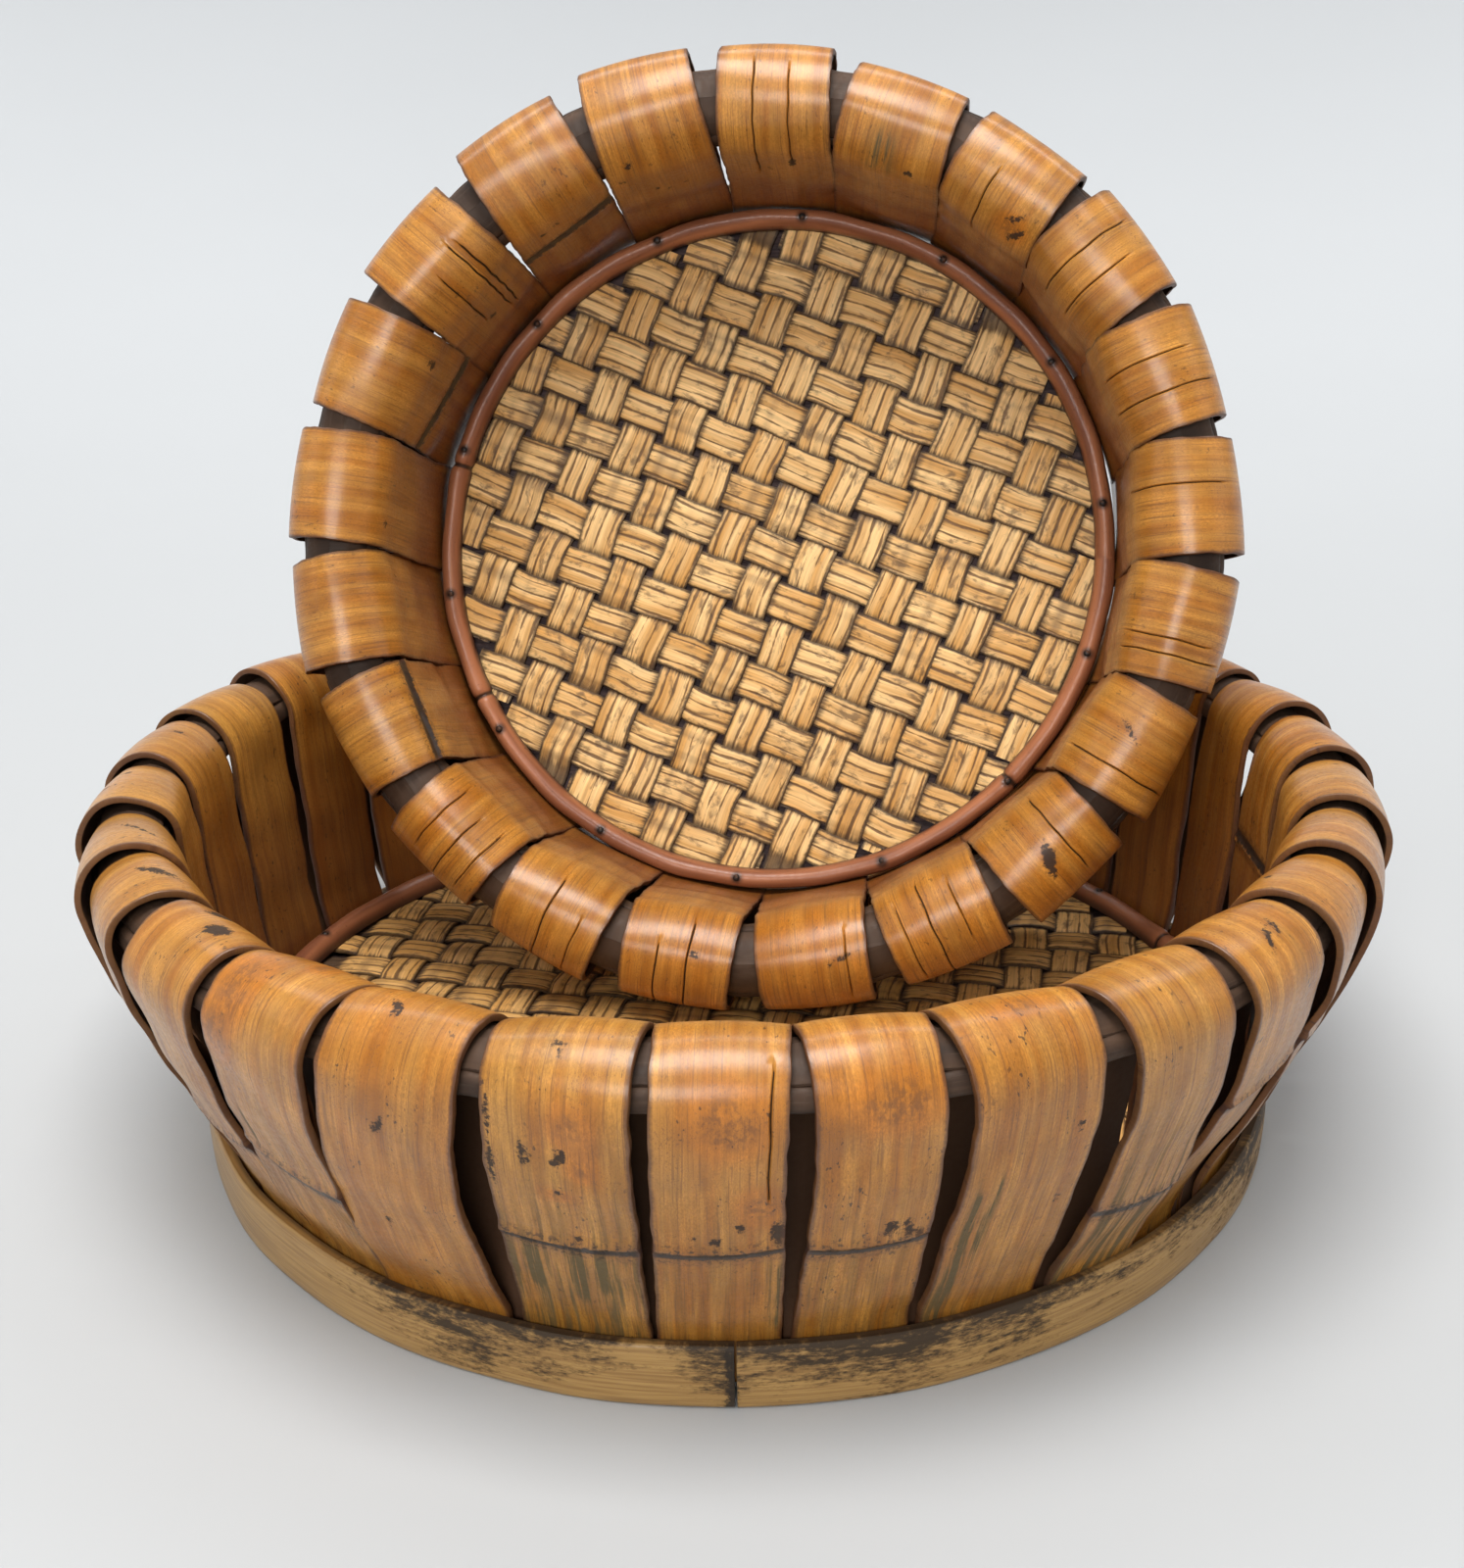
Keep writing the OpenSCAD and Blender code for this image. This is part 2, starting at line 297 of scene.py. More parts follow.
def bambooSkin(colours):
    tree, ends = newGroup("bambooSkin", ("Strip", "Marks", "Knot"),
                          (("Specks", 1.0), ("Stains", 1.0)))
    strip, marks, knot, specks, stains = list(ends)[:5]
    along = apart(tree, strip)[1]
    spot, crack, streak = apart(tree, marks)
    knotFar, edgeFar, tone = apart(tree, knot)
    g = grainFields(tree, strip)
    base = mixed(tree, rise(tree, g["broad"], 0.30, 0.70), colours["deep"], colours["light"])
    base = mixed(tree, rise(tree, tone, 0.0, 1.0, 0.0, 0.75), base, colours["orange"])
    base = mixed(tree, rise(tree, tone, 0.0, -1.0, 0.0, 0.75), base, colours["olive"])
    shade = rise(tree, g["fibre"], 0.25, 0.75, 0.84, 1.12)
    shade = times(tree, shade, rise(tree, g["hair"], 0.2, 0.8, 0.90, 1.08))
    shade = times(tree, shade, rise(tree, g["patch"], 0.30, 0.72, 0.84, 1.08))
    grit = grown(tree, strip, (3.2, 1.3, 23.0), 3.0, 0.7)
    shade = times(tree, shade, rise(tree, grit, 0.30, 0.70, 0.76, 1.14))
    base = shaded(tree, base, shade)
    # thin brown hairlines, and brown clouds of fine dots
    hairs = grown(tree, strip, (2.3, 0.05, 29.0), 2.0, 0.5)
    base = mixed(tree, rise(tree, hairs, 0.57, 0.66, 0.0, 0.55), base, colours["rust"])
    dots = times(tree, rise(tree, grit, 0.50, 0.62),
                 rise(tree, grown(tree, strip, (0.13, 0.07, 31.0), 4.0, 0.65), 0.44, 0.62))
    base = mixed(tree, times(tree, dots, 0.72), base, colours["rust"])
    patches = times(tree, rise(tree, tone, 0.9, 1.9),
                    rise(tree, grown(tree, strip, (0.55, 0.40, 37.0), 5.0, 0.7), 0.40, 0.58))
    base = mixed(tree, times(tree, patches, 0.70), base, colours["rust"])
    # rusty stains, most on the inner legs; the inner legs also turn darker red-brown towards the
    # foot, which is painted shade inside the basket
    inner = rise(tree, along, -8.0, -55.0)
    long = grown(tree, strip, (0.42, 0.020, 11.0), 4.0, 0.6, 0.4)
    rust = times(tree, rise(tree, long, 0.52, 0.72),
                 times(tree, plus(tree, inner, 0.10), stains))
    base = mixed(tree, times(tree, rust, 0.85, clamp=True), base, colours["rust"])
    # painted shade: the inner legs darker towards the foot, inside the basket
    base = mixed(tree, times(tree, inner, 0.62), base, colours["inner"])
    # grey-green dirt rubbed into the fibres of the outer legs
    comb = grown(tree, strip, (0.75, 0.028, 13.0), 4.0, 0.65, 0.2)
    dirt = times(tree, rise(tree, comb, 0.42, 0.62), streak)
    hard = times(tree, sums(tree, "MAXIMUM", minus(tree, streak, 1.1), 0.0),
                 rise(tree, g["hair"], 0.35, 0.55))
    dirt = plus(tree, dirt, hard, clamp=True)
    base = mixed(tree, times(tree, dirt, 0.92), base, colours["dirt"])
    # small flecks, longer along the fibres
    fleck = grown(tree, strip, (1.1, 0.55, 17.0), 2.0, 0.5)
    few = grown(tree, strip, (0.09, 0.07, 19.0), 2.0, 0.5)
    flecks = times(tree, rise(tree, fleck, 0.64, 0.69),
                   times(tree, rise(tree, few, 0.46, 0.62), specks))
    base = mixed(tree, times(tree, flecks, 0.8, clamp=True), base, colours["black"])
    # dark spots with ragged outlines
    ragged = times(tree, minus(tree, g["fine"], 0.5), 3.4)
    spots = rise(tree, plus(tree, spot, ragged), 0.35, -0.25)
    base = mixed(tree, times(tree, spots, 0.93), base, colours["black"])
    # the knot: a thin black line with a brown halo
    wander = times(tree, minus(tree, g["fine"], 0.5), 2.2)
    line = sums(tree, "ABSOLUTE", plus(tree, knotFar, wander))
    base = mixed(tree, rise(tree, line, 4.5, 0.6, 0.0, 0.50), base, colours["rust"])
    blots = times(tree, rise(tree, line, 5.0, 1.0), rise(tree, g["fine"], 0.50, 0.60))
    base = mixed(tree, times(tree, blots, 0.85), base, colours["black"])
    thin = rise(tree, line, 1.55, 0.85)
    base = mixed(tree, times(tree, thin, 0.95), base, colours["black"])
    # cracks
    opening = rise(tree, crack, 0.30, 0.16)
    base = mixed(tree, times(tree, opening, 0.93), base, colours["black"])
    # dark worn edges and the raw inside of the strip
    worn = plus(tree, edgeFar, times(tree, g["fine"], -0.9))
    base = mixed(tree, rise(tree, worn, 0.75, -0.25, 0.0, 0.80), base, colours["edge"])
    base = mixed(tree, rise(tree, edgeFar, -0.5, -0.9, 0.0, 0.75), base, colours["raw"])
    rough = plus(tree, rise(tree, g["fine"], 0.3, 0.7, 0.32, 0.46),
                 times(tree, sums(tree, "MAXIMUM", dirt, spots), 0.28))
    rough = plus(tree, rough, rise(tree, edgeFar, 0.3, -0.6, 0.0, 0.25))
    height = sums(tree, "MULTIPLY_ADD", g["fibre"], 0.05, times(tree, g["hair"], 0.025))
    height = minus(tree, height, times(tree, opening, 0.10))
    height = minus(tree, height, times(tree, thin, 0.10))
    height = minus(tree, height, times(tree, spots, 0.04))
    gloss = minus(tree, rise(tree, edgeFar, -0.6, 0.4, 0.0, 0.55),
                  times(tree, sums(tree, "MAXIMUM", dirt, spots), 0.35), clamp=True)
    return endGroup(tree, Colour=base, Roughness=rough, Height=height, Gloss=gloss)


def surface(name, group, links, bump=0.35, distance=0.001, fixed=None):
    # a material from one group: its outputs feed Base Color, Roughness, Coat and a bump
    material = bpy.data.materials.new(name)
    material.use_nodes = True
    tree = material.node_tree
    shader = tree.nodes["Principled BSDF"]
    made = tree.nodes.new("ShaderNodeGroup")
    made.node_tree = group
    for label, value in links.items():
        plug(tree, made.inputs[label],
             attribute(tree, value) if isinstance(value, str) else value)
    tree.links.new(made.outputs["Colour"], shader.inputs["Base Color"])
    tree.links.new(made.outputs["Roughness"], shader.inputs["Roughness"])
    if "Gloss" in made.outputs:
        tree.links.new(made.outputs["Gloss"], shader.inputs["Coat Weight"])
        shader.inputs["Coat Roughness"].default_value = finish["coatRough"]
    shader.inputs["Specular IOR Level"].default_value = finish["specular"]
    relief = tree.nodes.new("ShaderNodeBump")
    relief.inputs["Strength"].default_value = bump
    relief.inputs["Distance"].default_value = distance
    tree.links.new(made.outputs["Height"], relief.inputs["Height"])
    tree.links.new(relief.outputs["Normal"], shader.inputs["Normal"])
    for label, value in (fixed or {}).items():
        shader.inputs[label].default_value = value
    return material


skinGroup = bambooSkin(skinColours)
largeSkin = surface("largeSlatBamboo", skinGroup,
                    {"Strip": "strip", "Marks": "marks", "Knot": "knot", "Specks": 0.9,
                     "Stains": 1.0}, bump=0.55)
smallSkin = surface("smallSlatBamboo", skinGroup,
                    {"Strip": "strip", "Marks": "marks", "Knot": "knot", "Specks": 0.6,
                     "Stains": 0.6}, bump=0.5)

# Each list has a value at the inner foot, the inner leg, the inner shoulder, the crest,
# and at six places down the outer leg. swing: sideways shift in mm. wide: width in mm.
# lift: shift outwards in mm. lean: twist about its own line in degrees.
stations = {"large": (-94, -48, -17, 0, 17, 30, 45, 60, 75, 88, 99),
            "small": (-75, -40, -18, 0, 18, 29, 40, 51, 62, 71, 81)}
leans = {"left": (0, 0, 3, 6, 7, 6, 4, 2, 0, 0, 0),
         "right": (0, 0, -3, -6, -7, -6, -4, -2, 0, 0, 0),
         "rightLess": (0, 0, -2, -5, -6, -6, -4, -2, 0, 0, 0)}
widths = {"narrow": (24, 24, 25, 26, 25.5, 24.5, 24, 24, 24, 24, 24),
          "middling": (24, 24, 26, 27, 25.5, 24.5, 24, 24, 24, 24, 24)}
largeLooks = {
    7: {"dirt": 0.4, "swing": (1, 1, 2, 2, 0, -3, -5, -5.5, -5, -4.5, -4.5),
        "wide": (25, 26, 28, 28.5, 25, 22.5, 21.5, 22, 23, 24, 24),
        "knot": (60, 0.05, 1), "tone": 0.0,
        "spots": [(-4, -6, 2.2, 3.0, 0.5), (5, -1, 3.0, 2.0, -0.4)]},
    8: {"lean": (0, 0, 1, 2, 3, 3, 2, 1, 0, 0, 0),
        "swing": (2, 2, 3, 3.4, 1.4, -2.0, -4, -5.5, -8, -9, -9),
        "wide": (25, 26, 30, 31, 29, 29, 29, 29, 30, 30, 30),
        "knot": (57, -0.02, 1), "tone": 0.0, "dirt": 0.3,
        "rusty": [(-8, 8, 6, 9), (-10, 22, 4, 6), (4, -4, 3, 3)],
        "streaks": [(-9, 44, 50, 0.9, 1.6)]},
    9: {"swing": (2, 2, 4, 4.0, 3.4, -0.7, -3.7, -4.8, -5.6, -4.8, -4.8),
        "wide": (25, 26, 28, 28.8, 29, 29, 30, 31, 31, 30, 30), "tone": 0.3,
        "spots": [(-3, 2, 1.5, 1.0, 0.6), (-2, 3.5, 0.9, 1.2, 0.2), (-4, 60, 0.6, 1.6, 0),
                  (0, 26, 0.4, 1.6, 0), (-1.5, 28, 0.4, 1.2, 0), (6, 86, 0.7, 0.9, 0)]},
    10: {"swing": (2, 3, 5, 5.4, 5.6, 4.2, 3.7, 2.6, 1.4, 0.5, 0.5),
         "wide": (25, 26, 27, 27.6, 28, 28, 28, 27.6, 27.4, 27.3, 27), "knot": (54.5, -0.06, 1.3),
         "streaks": [(-8, 56, 70, 1.0, 2.2), (1, 56, 72, 1.2, 2.2), (6, 56, 68, 1.0, 2.0)],
         "tone": -0.4, "dirt": 0.75, "lowDirt": 0.15,
         "rusty": [(3, 20, 5, 6), (5, 30, 3, 4), (0, 38, 3, 2)],
         "spots": [(0.5, 6, 0.5, 1.6, 0), (-0.4, 5, 0.9, 0.5, 0), (-6.5, 28, 0.6, 1.8, 0),
                   (-5, 29, 0.4, 1.2, 0), (1, 27, 1.0, 1.7, 0),
                   (0, 29, 0.8, 1.0, 0), (0.5, 37, 0.9, 0.7, 0), (-12.6, 20, 0.5, 4.0, 0),
                   (-12.6, 32, 0.6, 5.0, 0), (2.5, 51, 0.7, 0.7, 0)]},
    11: {"swing": (2, 3, 4, 4.6, 4.3, 3.6, 3.2, 3.0, 2.3, 1.8, 1.8),
         "wide": (24,) * 2 + (24.8,) * 9,
         "knot": (54.5, -0.02, 1), "tone": 0.1, "dirt": 0.3,
         "rusty": [(2, 18, 7, 7), (8, 40, 4, 5)], "streaks": [(10.6, 62, 80, 0.8, 1.8)],
         "cracks": [(9.2, 8, 38, 0.55, 0.8)],
         "spots": [(11, 48, 1.4, 3.6, 0), (-0.5, 50, 1.2, 1.2, 0), (4, 46, 1.0, 1.2, 0),
                   (-5, 49, 0.7, .9, 0)]},
    12: {"swing": (1, 1, 1.2, 1.6, 2.5, 3.1, 3.0, 2.6, 2.5, 2.5, 2.5),
         "wide": (24,) * 2 + (23.8,) * 9,
         "knot": (55.0, -0.03, 1), "tone": 0.2, "dirt": 0.35, "rusty": [(3, 16, 8, 5)],
         "spots": [(3.5, 49, 1.3, 2.4, 0), (7, 50, 0.8, 2.6, 0), (9.5, 52, 0.7, 1.2, 0)]},
    13: {"swing": (0, 0, 0, 0.5, 2.3, 3.5, 3.3, 3.0, 3.4, 3.6, 3.6),
         "wide": (24, 25, 28, 28.6, 26.6, 26, 26.4, 26.5, 26.8, 26.7, 26.5), "tone": 0.15,
         "dirt": 0.2, "leftDirt": 0.6, "rusty": [(1, 2, 4, 2.5)],
         "streaks": [(-9.5, 46, 92, 1.0, 1.9), (-6, 42, 60, 0.9, 1.5)],
         "spots": [(9, 30, 0.6, 1.4, 0), (9, 52, 0.5, 1.4, 0)]},
    14: {"swing": (0, 0, 0.5, 1.4, 4.9, 7.4, 8.1, 7.6, 6.8, 5.5, 5.0),
         "wide": (24, 25, 28, 28.4, 24, 24, 25.0, 25.2, 24.6, 23.8, 23), "knot": (64, 0.1, 0.8),
         "tone": -0.3, "dirt": 0.95, "lowDirt": 0.0,
         "lift": (0, 0, 0, 0, 0, 0, 0, 0.6, 1.2, 1.0, 0.4)},
    15: {"swing": (1, 1, 2, 3.3, 4.9, 8, 10, 9, 6.5, 4.5, 4),
         "wide": (24, 25, 26, 26.6, 25.0, 24, 23, 22, 21, 20, 19), "knot": (46, -0.1, 1.6),
         "tone": 0.1, "dirt": 0.25, "lift": (0, 0, 0, 0, 0, 0, 0, -0.4, -1.4, -1.6, -1.0),
         "spots": [(-1, 6, 0.8, 2.5, 0.7), (3, 5, 0.6, 1.6, 0.4)]},
    16: {"lean": (0, 0, -2, -4, -5, -5, -3, -1, 0, 0, 0),
         "swing": (1, 1, 2, 2.9, 5.0, 7, 7, 6, 5, 4, 4),
         "wide": (24, 25, 27, 28, 24, 23, 22, 22, 22, 22, 22), "knot": (43, 0, 1.5),
         "tone": 0.0, "dirt": 0.2, "spots": [(-5, -6, 1.0, 0.8, 0)]},
    1: {"tone": 0.2, "lean": (0, 0, 3, 5, 5, 4, 3, 2, 0, 0, 0)},
    2: {"tone": -0.5, "lean": leans["left"], "wide": widths["narrow"]},
    3: {"tone": -0.3, "lean": leans["left"], "wide": widths["narrow"],
        "spots": [(4, 12, 0.6, 2.2, 0.2), (-3, -3, 0.5, 1.2, 0)]},
    4: {"tone": -0.4, "lean": leans["left"], "wide": widths["narrow"],
        "spots": [(2, 6, 0.5, 1.8, 0.2), (-6, 2, 0.6, 1.4, 0.4)]},
    5: {"tone": -0.5, "lean": (0, 0, 2, 5, 6, 6, 4, 2, 0, 0, 0),
        "wide": (24, 24, 26, 27, 26, 24.5, 24, 24, 24, 24, 24),
        "spots": [(2, -2, 0.5, 4.0, 0.9)]},
    6: {"tone": -0.3, "lean": (0, 0, 2, 4, 5, 5, 4, 2, 0, 0, 0),
        "wide": (24, 24, 25.5, 26, 25, 24, 23, 23, 23.5, 24, 24),
        "swing": (0, 0, -1, -1.5, -2, -3.5, -5, -5.5, -5, -4.5, -4.5),
        "spots": [(2, -2, 1.0, 5.0, 0.9)]},
    17: {"tone": -0.3, "dirt": 0.4, "lean": leans["rightLess"], "wide": widths["middling"]},
    18: {"tone": -0.3, "lean": leans["rightLess"], "wide": widths["middling"]},
    19: {"tone": 0.2, "knot": (-38, 0, 1.4), "lean": leans["right"]},
    20: {"tone": 0.2, "lean": leans["right"]},
    21: {"tone": 0.3, "lean": (0, 0, -2, -4, -5, -4, -3, -2, 0, 0, 0)}}
smallTurn = {1: -0.6, 2: -0.5, 3: -0.1, 4: 0.7, 5: 1.5, 6: 2.3, 7: 3.0, 8: 3.5, 9: 3.8, 10: 3.7,
             11: 3.2,
             12: 2.2, 13: 1.3, 14: 1.2, 15: 0.2, 16: 0.0, 17: 0.1, 18: 0.2, 19: 0.3, 20: -0.2,
             21: -0.3}
smallLift = {20: 2.8, 21: 3.2, 1: 1.4, 2: -1.5, 3: -1.5, 19: 0.8, 15: -1.0, 14: -1.0}
smallLooks = {
    20: {"knot": (-30, -0.16, 1.6), "tone": 0.3,
         "spots": [(6, -22, 0.9, 0.7, 0), (2, -21, 0.7, 0.6, 0)]},
    19: {"cracks": [(-7, -6, -44, 0.5, 1.4), (-4.6, -4, -42, 0.4, 1.2), (3, -8, -36, 0.4, 0.9)],
         "tone": 0.2,
         "spots": [(1, -38, 1.2, 1.0, 0)]},
    18: {"tone": 0.1, "dirt": 0.2, "knot": (-40, 0.15, 1.4), "spots": [(-7, -20, 1.0, 2.4, 0)]},
    17: {"tone": 0.1, "spots": [(8, -18, 0.8, 0.7, 0)]},
    16: {"tone": -0.1, "spots": [(-8, -24, 0.6, 0.6, 0)]},
    15: {"tone": 0.0, "knot": (-15, 0.12, 1.2)},
    14: {"tone": 0.35, "cracks": [(-6, -12, 8, 0.4, 0.6), (2, -8, 20, 0.4, 0.7),
                                  (9, -10, 10, 0.3, 0.6)]},
    13: {"tone": 0.3, "cracks": [(-1, -10, 18, 0.4, 0.9), (8, -2, 16, 0.3, 0.6)]},
    12: {"tone": 0.5, "cracks": [(-5, -3, 22, 0.3, 1.0), (3, -10, 24, 0.3, 1.0)],
         "spots": [(4.5, -2, 1.1, 0.8, 0.4)]},
    11: {"tone": 0.6, "cracks": [(9, -6, 10, 0.3, 0.5)], "spots": [(7, 0, 0.5, 2.4, 1.3)]},
    10: {"tone": 0.4, "cracks": [(6, -8, 6, 0.4, 0.6), (-2, -12, 22, 0.5, 0.9),
                                 (-9, -8, 14, 0.3, 0.6)]},
    9: {"tone": 0.35, "cracks": [(4, -14, 10, 0.3, 0.9)], "spots": [(-2, 2, 1.6, 4.0, 0.5)],
        "dirt": 0.2},
    8: {"tone": 0.2, "cracks": [(-7, -14, 14, 0.3, 0.8)], "spots": [(3, -2, 0.6, 2.4, 0.6)]},
    7: {"tone": 0.0, "cracks": [(-8, -14, 12, 0.3, 0.8), (-4, -12, 8, 0.3, 0.6)]},
    6: {"tone": 0.0, "cracks": [(3, -20, 8, 0.3, 0.6)]},
    5: {"tone": 0.2, "cracks": [(-5, -18, 12, 0.3, 0.7), (4, -18, 6, 0.3, 0.6)]},
    4: {"tone": 0.2, "cracks": [(5, -22, 10, 0.3, 0.8), (-3, -20, 4, 0.3, 0.6)]},
    3: {"tone": 0.0, "dirt": 0.35, "cracks": [(3, -2, -26, 0.4, 0.8)],
        "spots": [(-9, -13, 0.9, 3.0, 0.6), (-7, -9, 0.6, 2.0, 0.9)], "rusty": [(-7, -12, 4, 4)]},
    2: {"tone": 0.15, "spots": [(-6, -14, 1.3, 0.9, 0.4), (-9, -30, 0.5, 0.5, 0),
                                (-6, -30.5, 0.5, 0.6, 0), (-3, -31, 0.6, 0.5, 0)],
        "streaks": [(2, -14, -8, 3.0, 1.4)]},
    1: {"tone": 0.2, "cracks": [(5, 6, -30, 0.3, 0.8), (-4, 4, -22, 0.3, 0.6)],
        "spots": [(-4, -24, 1.0, 2.6, 0.2), (2, -28, 0.6, 1.0, 0)]},
    21: {"tone": 0.3, "spots": [(8, -14, 0.8, 1.0, 0), (3, -30, 0.6, 0.8, 0),
                                (-6, -10, 0.6, 0.8, 0), (-5, -31, 0.6, 0.6, 0),
                                (0, -32, 0.5, 0.6, 0), (11, -20, 0.8, 0.8, 0)]}}


# edge: corner of the section, crackHalf: half a crack's groove, thinner: taken off the
# thickness, wobble: of the long edges, cup: how far they fall below the middle,
# plainWide: of a large slat with no look, ridge and ditch: of a knot, knotBow: of its line,
# wrapFrom and wrapOver: where the inner foot starts to wrap round the base
slatShape = {"edge": 0.22, "crackHalf": 0.38, "crackDeep": 0.5, "thinner": 0.35, "wobble": 0.10,
             "cup": 0.75, "plainWide": 26.2, "ridge": 0.34, "ditch": 0.22, "knotBow": 1.1,
             "wrapFrom": 24, "wrapOver": 18}


def slatLine(basket, rows):
    # middle line (distance out, height): inner leg, half circle over the rim, outer leg
    # that swings in by the power 1.3 of the way down; evenly spaced by length
    t = common["slatT"]
    rollC, rollZ = basket["rimR"] - basket["rollR"], basket["high"] - basket["rollR"]
    inner, outer = basket["inFace"] + t / 2, basket["outFace"] - t / 2
    r = basket["rollR"] - t / 2
    s = np.linspace(0, 1, 41)
    a = math.pi * (1 - s)
    legIn = np.stack([inner + (rollC - r - inner) * s, 15 + (rollZ - 15) * s], 1)
    over = np.stack([rollC + r * np.cos(a), rollZ + r * np.sin(a)], 1)
    legOut = np.stack([rollC + r - (rollC + r - outer) * s ** 1.3, rollZ + (15 - rollZ) * s], 1)
    line = np.concatenate([[[inner, common["legEnd"]]], legIn, over[1:], legOut[1:],
                           [[outer, common["legEnd"]]]])
    run = np.concatenate([[0], np.cumsum(np.linalg.norm(np.diff(line, axis=0), axis=1))])
    crest = run[61]
    along = np.linspace(0, run[-1], rows)
    r, z = np.interp(along, run, line[:, 0]), np.interp(along, run, line[:, 1])
    return along - crest, r, z


def softened(values, turns):
    # a moving average, with the ends kept
    for _ in range(turns):
        values = np.concatenate([values[:1], (values[:-2] + 2 * values[1:-1] + values[2:]) / 4,
                                 values[-1:]])
    return values


def makeSlat(basket, name, angle, look, seed, rows=176):
    dice, shape = np.random.default_rng(seed), slatShape
    along, r, z = slatLine(basket, rows)
    r, z = softened(r, 6), softened(z, 6)
    places = stations[basket["tag"]]

    def carried(key, default):
        values = look.get(key, default)
        return softened(np.interp(along, places, values), 60)

    if basket["tag"] == "large":
        shift, plain = dice.normal(0, 0.9) + 1.2, shape["plainWide"]
        base = (shift * 0.5, shift, shift, shift) + tuple(
            shift + dice.normal(0, 1.2) for _ in range(7))
        wide = (24.4, 25.2, plain, plain + 0.6, plain, 25.6, 25.6, 25.4, 25.2, 25.0, 24.8)
    else:
        shift = dice.normal(0, 0.3)
        base = (shift * 0.3, shift * 0.6, shift, shift, shift) + tuple(
            shift + dice.normal(0, 0.8) for _ in range(6))
        wide = (30.2, 29.3, 28.9, 29.0, 29.0, 28.8, 28.7, 28.6, 28.8, 29.5, 29.7)
    swing = carried("swing", base)
    r = r + carried("reach", (0,) * 11)
    width = carried("wide", wide) + 0.25 * smoothNoise(rows, along[-1] - along[0], 60, seed + 5)
    lift = carried("lift", (0,) * 11) + 0.25 * smoothNoise(rows, 170, 90, seed + 9)
    twist = np.radians(carried("lean", (0,) * 11) + dice.normal(0, 1.6)
                       + 1.2 * smoothNoise(rows, 170, 120, seed + 3))
    knotAt, knotSlope, knotHard = look.get("knot", (400.0, 0.0, 0.0))
    # place of the middle line, its direction, and the way out of the wall
    turn = np.radians(angle) + swing / r
    way = np.stack([r * np.cos(turn), r * np.sin(turn), z], 1)
    ahead = unitRows(np.gradient(way, axis=0))
    dr, dz = np.gradient(r), np.gradient(z)
    out2 = unitRows(np.stack([-dz, dr], 1))
    out3 = np.stack([out2[:, 0] * np.cos(turn), out2[:, 0] * np.sin(turn), out2[:, 1]], 1)
    side = unitRows(np.cross(out3, ahead))
    out3 = unitRows(np.cross(ahead, side))
    ct, st = np.cos(twist)[:, None], np.sin(twist)[:, None]
    side, out3 = side * ct + out3 * st, out3 * ct - side * st
    # section: columns across the outer face, a rounded edge, the inner face, and back
    cracks = look.get("cracks", [])
    half = width.mean() / 2
    columns = [("plain", u) for u in np.linspace(-1, 1, 23)
               if all(abs(u * (half - shape["edge"]) - c[0]) > 0.9 for c in cracks)]
    for n, c in enumerate(cracks):
        columns += [("crack", (c[0] - shape["crackHalf"]) / (half - shape["edge"]), n, -1),
                    ("crack", c[0] / (half - shape["edge"]), n, 0),
                    ("crack", (c[0] + shape["crackHalf"]) / (half - shape["edge"]), n, 1)]
    columns.sort(key=lambda c: c[1])
    hw = (width / 2)[:, None]
    flat = hw - shape["edge"]
    xs, ys = [], []
    t = common["slatT"] - shape["thinner"]
    wobble = [shape["wobble"] * smoothNoise(rows, 170, 30, seed + 31 + k) for k in range(2)]
    thick = t * (1 + 0.08 * smoothNoise(rows, 170, 70, seed + 77))[:, None] * 0.5
    shifts = [0.45 * c[3] * smoothNoise(rows, 170, 55, seed + 51 + n) for n,
              c in enumerate(cracks)]
    for c in columns:
        x = c[1] * flat[:, 0]
        y = thick[:, 0].copy()
        if c[0] == "crack":
            n, place = c[2], c[3]
            low, high = sorted((cracks[n][1], cracks[n][2]))
            x = cracks[n][0] + shifts[n] + place * shape["crackHalf"]
            beyond = np.maximum(0, np.maximum(low - along, along - high))
            if place == 0:
                y = y - shape["crackDeep"] * np.clip(1 - beyond / 3, 0, 1)
        xs.append(x)
        ys.append(y)
    outerX = np.stack(xs, 1)
    outerY = np.stack(ys, 1)
    rightX = flat + shape["edge"] * np.array([[0.75, 1.0, 1.0, 1.0, 0.75]])
    rightY = thick * np.array([[0.86, 0.62, 0.0, -0.62, -0.86]])
    innerU = np.linspace(1, -1, 9)
    innerX = flat * innerU[None]
    innerY = -thick * np.ones((1, 9))
    x = np.concatenate([outerX, rightX, innerX, -rightX[:, ::-1]], 1)
    y = np.concatenate([outerY, rightY, innerY, rightY[:, ::-1]], 1)
    u = x / hw
    x = x + np.where(u > 0, wobble[0][:, None], wobble[1][:, None]) * np.abs(u) ** 3
    # convex across: the edges fall away by the square of the way out, more at the crest
    cup = look.get("cup", shape["cup"]) * (0.9 + 0.25 * smoothNoise(rows, 170, 80, seed + 13))
    y = y - cup[:, None] * (u ** 2 - 0.33)
    knotLine = knotAt + knotSlope * x - shape["knotBow"] * (u ** 2 - 0.4)
    far = along[:, None] - knotLine
    ridge = (shape["ridge"] * np.exp(-((far + 1.6) / 1.2) ** 2)
             - shape["ditch"] * np.exp(-((far - 0.3) / 0.8) ** 2))
    outward = np.zeros(x.shape[1])
    outward[:outerX.shape[1]] = 1.0
    y = y + knotHard * ridge * (0.35 + 0.65 * outward[None]) * (outward[None] + 0.4)
    y = y - 0.3 * knotHard * np.clip((np.sign(knotAt) * far) / 3, 0, 1) * (knotHard > 0)
